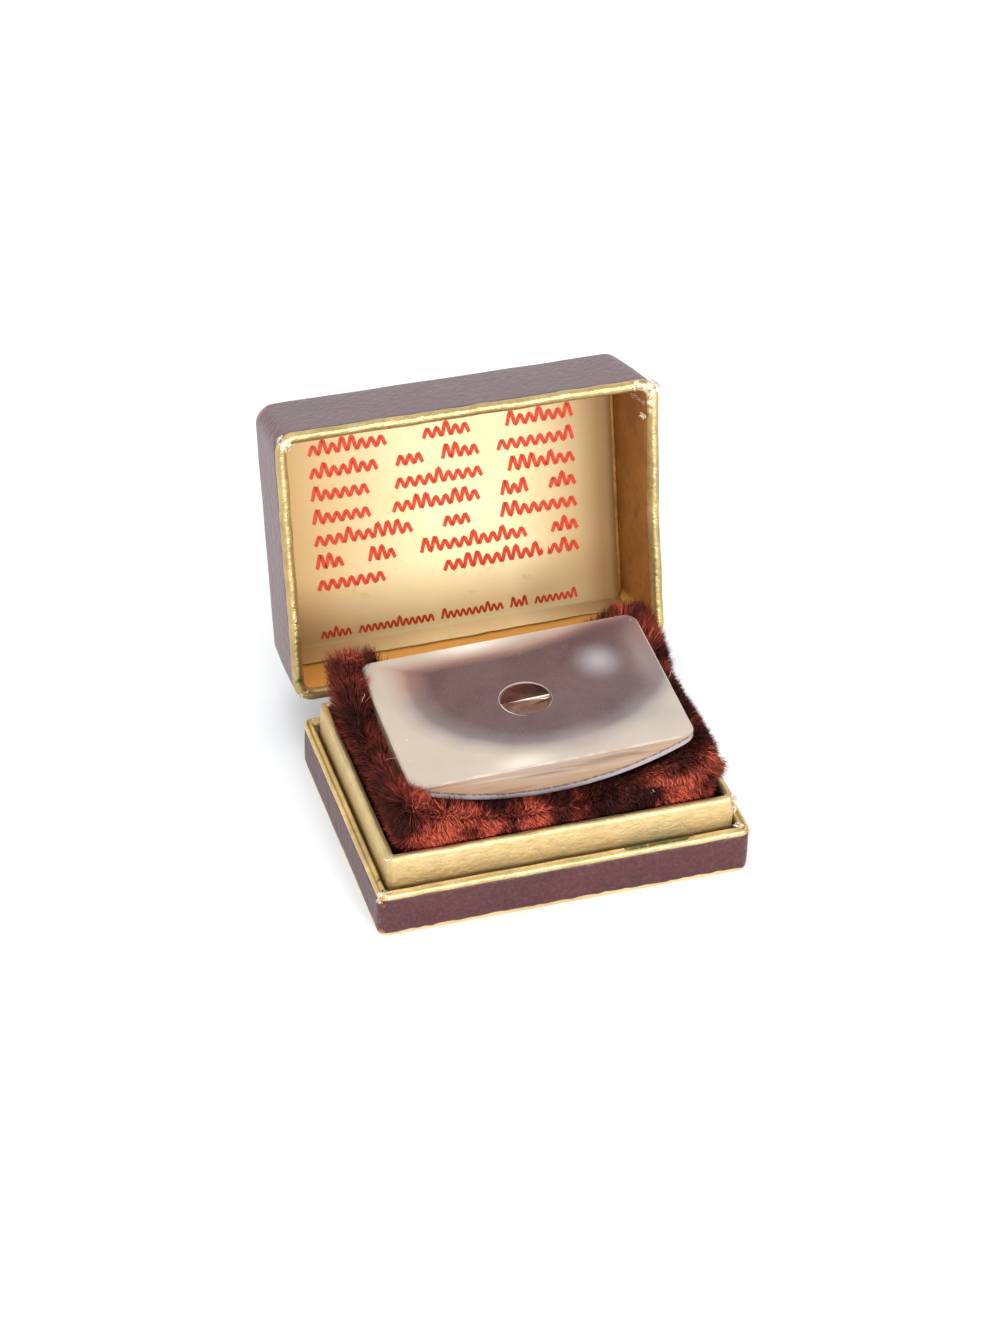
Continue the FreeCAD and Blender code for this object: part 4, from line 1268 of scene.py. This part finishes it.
def flakes(name, spots, body, seed, opened=False):
    """Curled scraps of torn paper: spots are (x, y, z, normal, reach of the scatter, count, size)."""
    rng = np.random.RandomState(seed)
    verts, faces = [], []
    for x, y, z, normal, reach, count, size in spots:
        normal = np.array(normal, float) / np.linalg.norm(normal)
        for _ in range(count):
            start = len(verts)
            verts += scrap(rng, (x, y, z), normal, reach, size, opened)
            for j in range(SCRAP_ROWS - 1):
                for i in range(SCRAP_COLS - 1):
                    k = start + j * SCRAP_COLS + i
                    faces.append((k, k + 1, k + SCRAP_COLS + 1, k + SCRAP_COLS))
    verts = np.array(verts)
    ob = build(name, open_lid(draft(verts)) if opened else verts, faces, MAT["torn"], body)
    thicken(ob, 0.05)


def make_frays():
    left, right, z = LID_LEFT, LID_RIGHT, LID_Z0
    down = (0, 0, -1)
    flakes("lid_frayed_paper", [
        (right - 1.5, -17.9, z - 0.02, (0.3, -0.3, -1), (1.1, 0.6, 0.2), 12, 0.85),
        (right - 0.8, -15.9, z, (0.2, 0, -1), (0.5, 0.9, 0.2), 10, 0.8),
        (right - 3.0, -18.3, z, (0, -0.3, -1), (1.2, 0.4, 0.2), 7, 0.7),
        (right - 0.2, -18.0, z + 1.0, (0.8, -0.8, -0.2), (0.5, 0.5, 0.9), 8, 0.8),
        (right - 1.75, -13.8, z + 1.0, (-1, 0, -0.4), (0.1, 0.3, 0.6), 5, 0.6),
        (left + 1.3, -17.6, z - 0.02, (-0.2, -0.2, -1), (0.8, 0.6, 0.2), 14, 0.65),
        (left + 0.7, -18.5, z + 0.5, (-0.6, -0.8, -0.4), (0.4, 0.3, 0.4), 5, 0.5),
        (left + 1.0, 17.9, z, down, (0.6, 0.5, 0.2), 5, 0.5),
        (right - 1.1, 17.9, z, down, (0.6, 0.5, 0.2), 5, 0.5),
    ], "lid", 201, opened=True)
    flakes("lid_lining_crack", [
        (right - 1.42, -15.4, z + 1.3 + 0.42 * k, (-1, 0.1, -0.2), (0.02, 0.22, 0.16), 2, 0.42)
        for k in range(12)
    ], "lid", 203, opened=True)
    flakes("base_frayed_paper", [
        (23.1, -16.7, 10.6, (0.6, -0.6, 0.6), (0.4, 0.4, 0.3), 12, 0.6),
        (23.3, -16.9, 8.8, (0.8, -0.8, 0.1), (0.25, 0.25, 1.0), 9, 0.6),
        (23.7, -17.6, 6.75, (0.2, -0.4, 1), (0.9, 0.6, 0.2), 8, 0.75),
        (-24.3, -18.3, 6.72, (-0.3, -0.3, 1), (0.7, 0.6, 0.15), 12, 0.65),
        (-25.0, -19.0, 6.1, (-0.7, -0.7, 0.1), (0.2, 0.2, 0.5), 6, 0.5),
        (24.7, -18.9, 6.3, (0.7, -0.7, 0.2), (0.3, 0.3, 0.4), 6, 0.5),
        (-23.2, -16.8, 10.75, (-0.4, -0.4, 1), (0.4, 0.3, 0.1), 4, 0.4),
    ], "base", 207)


def make_lint():
    """A few pale threads caught in the pile."""
    rng = np.random.RandomState(31)
    verts, faces = [], []
    spots = [(20.6, -13.6, 17.0), (-20.4, 6.0, 18.4), (-20.6, -6.0, 18.0)]
    spots += [(20.8, 2.0, 18.2), (-15.0, -15.6, 12.0), (12.0, -15.7, 13.0)]
    for spot in spots:
        at = np.array(spot)
        step = rng.randn(3) * 0.12 + np.array([0.05, -0.03, 0.2])
        faces += tube_faces(len(verts), 9)
        for _ in range(9):
            for turn in (0.0, math.pi / 2, math.pi, 1.5 * math.pi):
                verts.append(at + 0.022 * np.array([math.cos(turn), math.sin(turn), 0]))
            at = np.clip(at + step, [-23.4, -16.8, 3.0], [23.4, 16.8, 19.7])
            step = step + rng.randn(3) * 0.06 + np.array([0, 0, -0.03])
    ob = build("pale_threads", verts, faces, MAT["torn"], "base")


make_base_covering()
make_base_rim()
make_neck_sleeve()
make_lid_covering()
make_lid_rim()
make_lid_lining()
make_frays()
make_lint()
make_notice_card()
make_notice_marks()
make_lens()
make_wedge("wedge_near", "wedge_front", -1, "wedge_near")
make_wedge("wedge_far", "wedge_back", 1, "wedge_far")
make_pad_ground()
make_pile()
make_seat_nap()
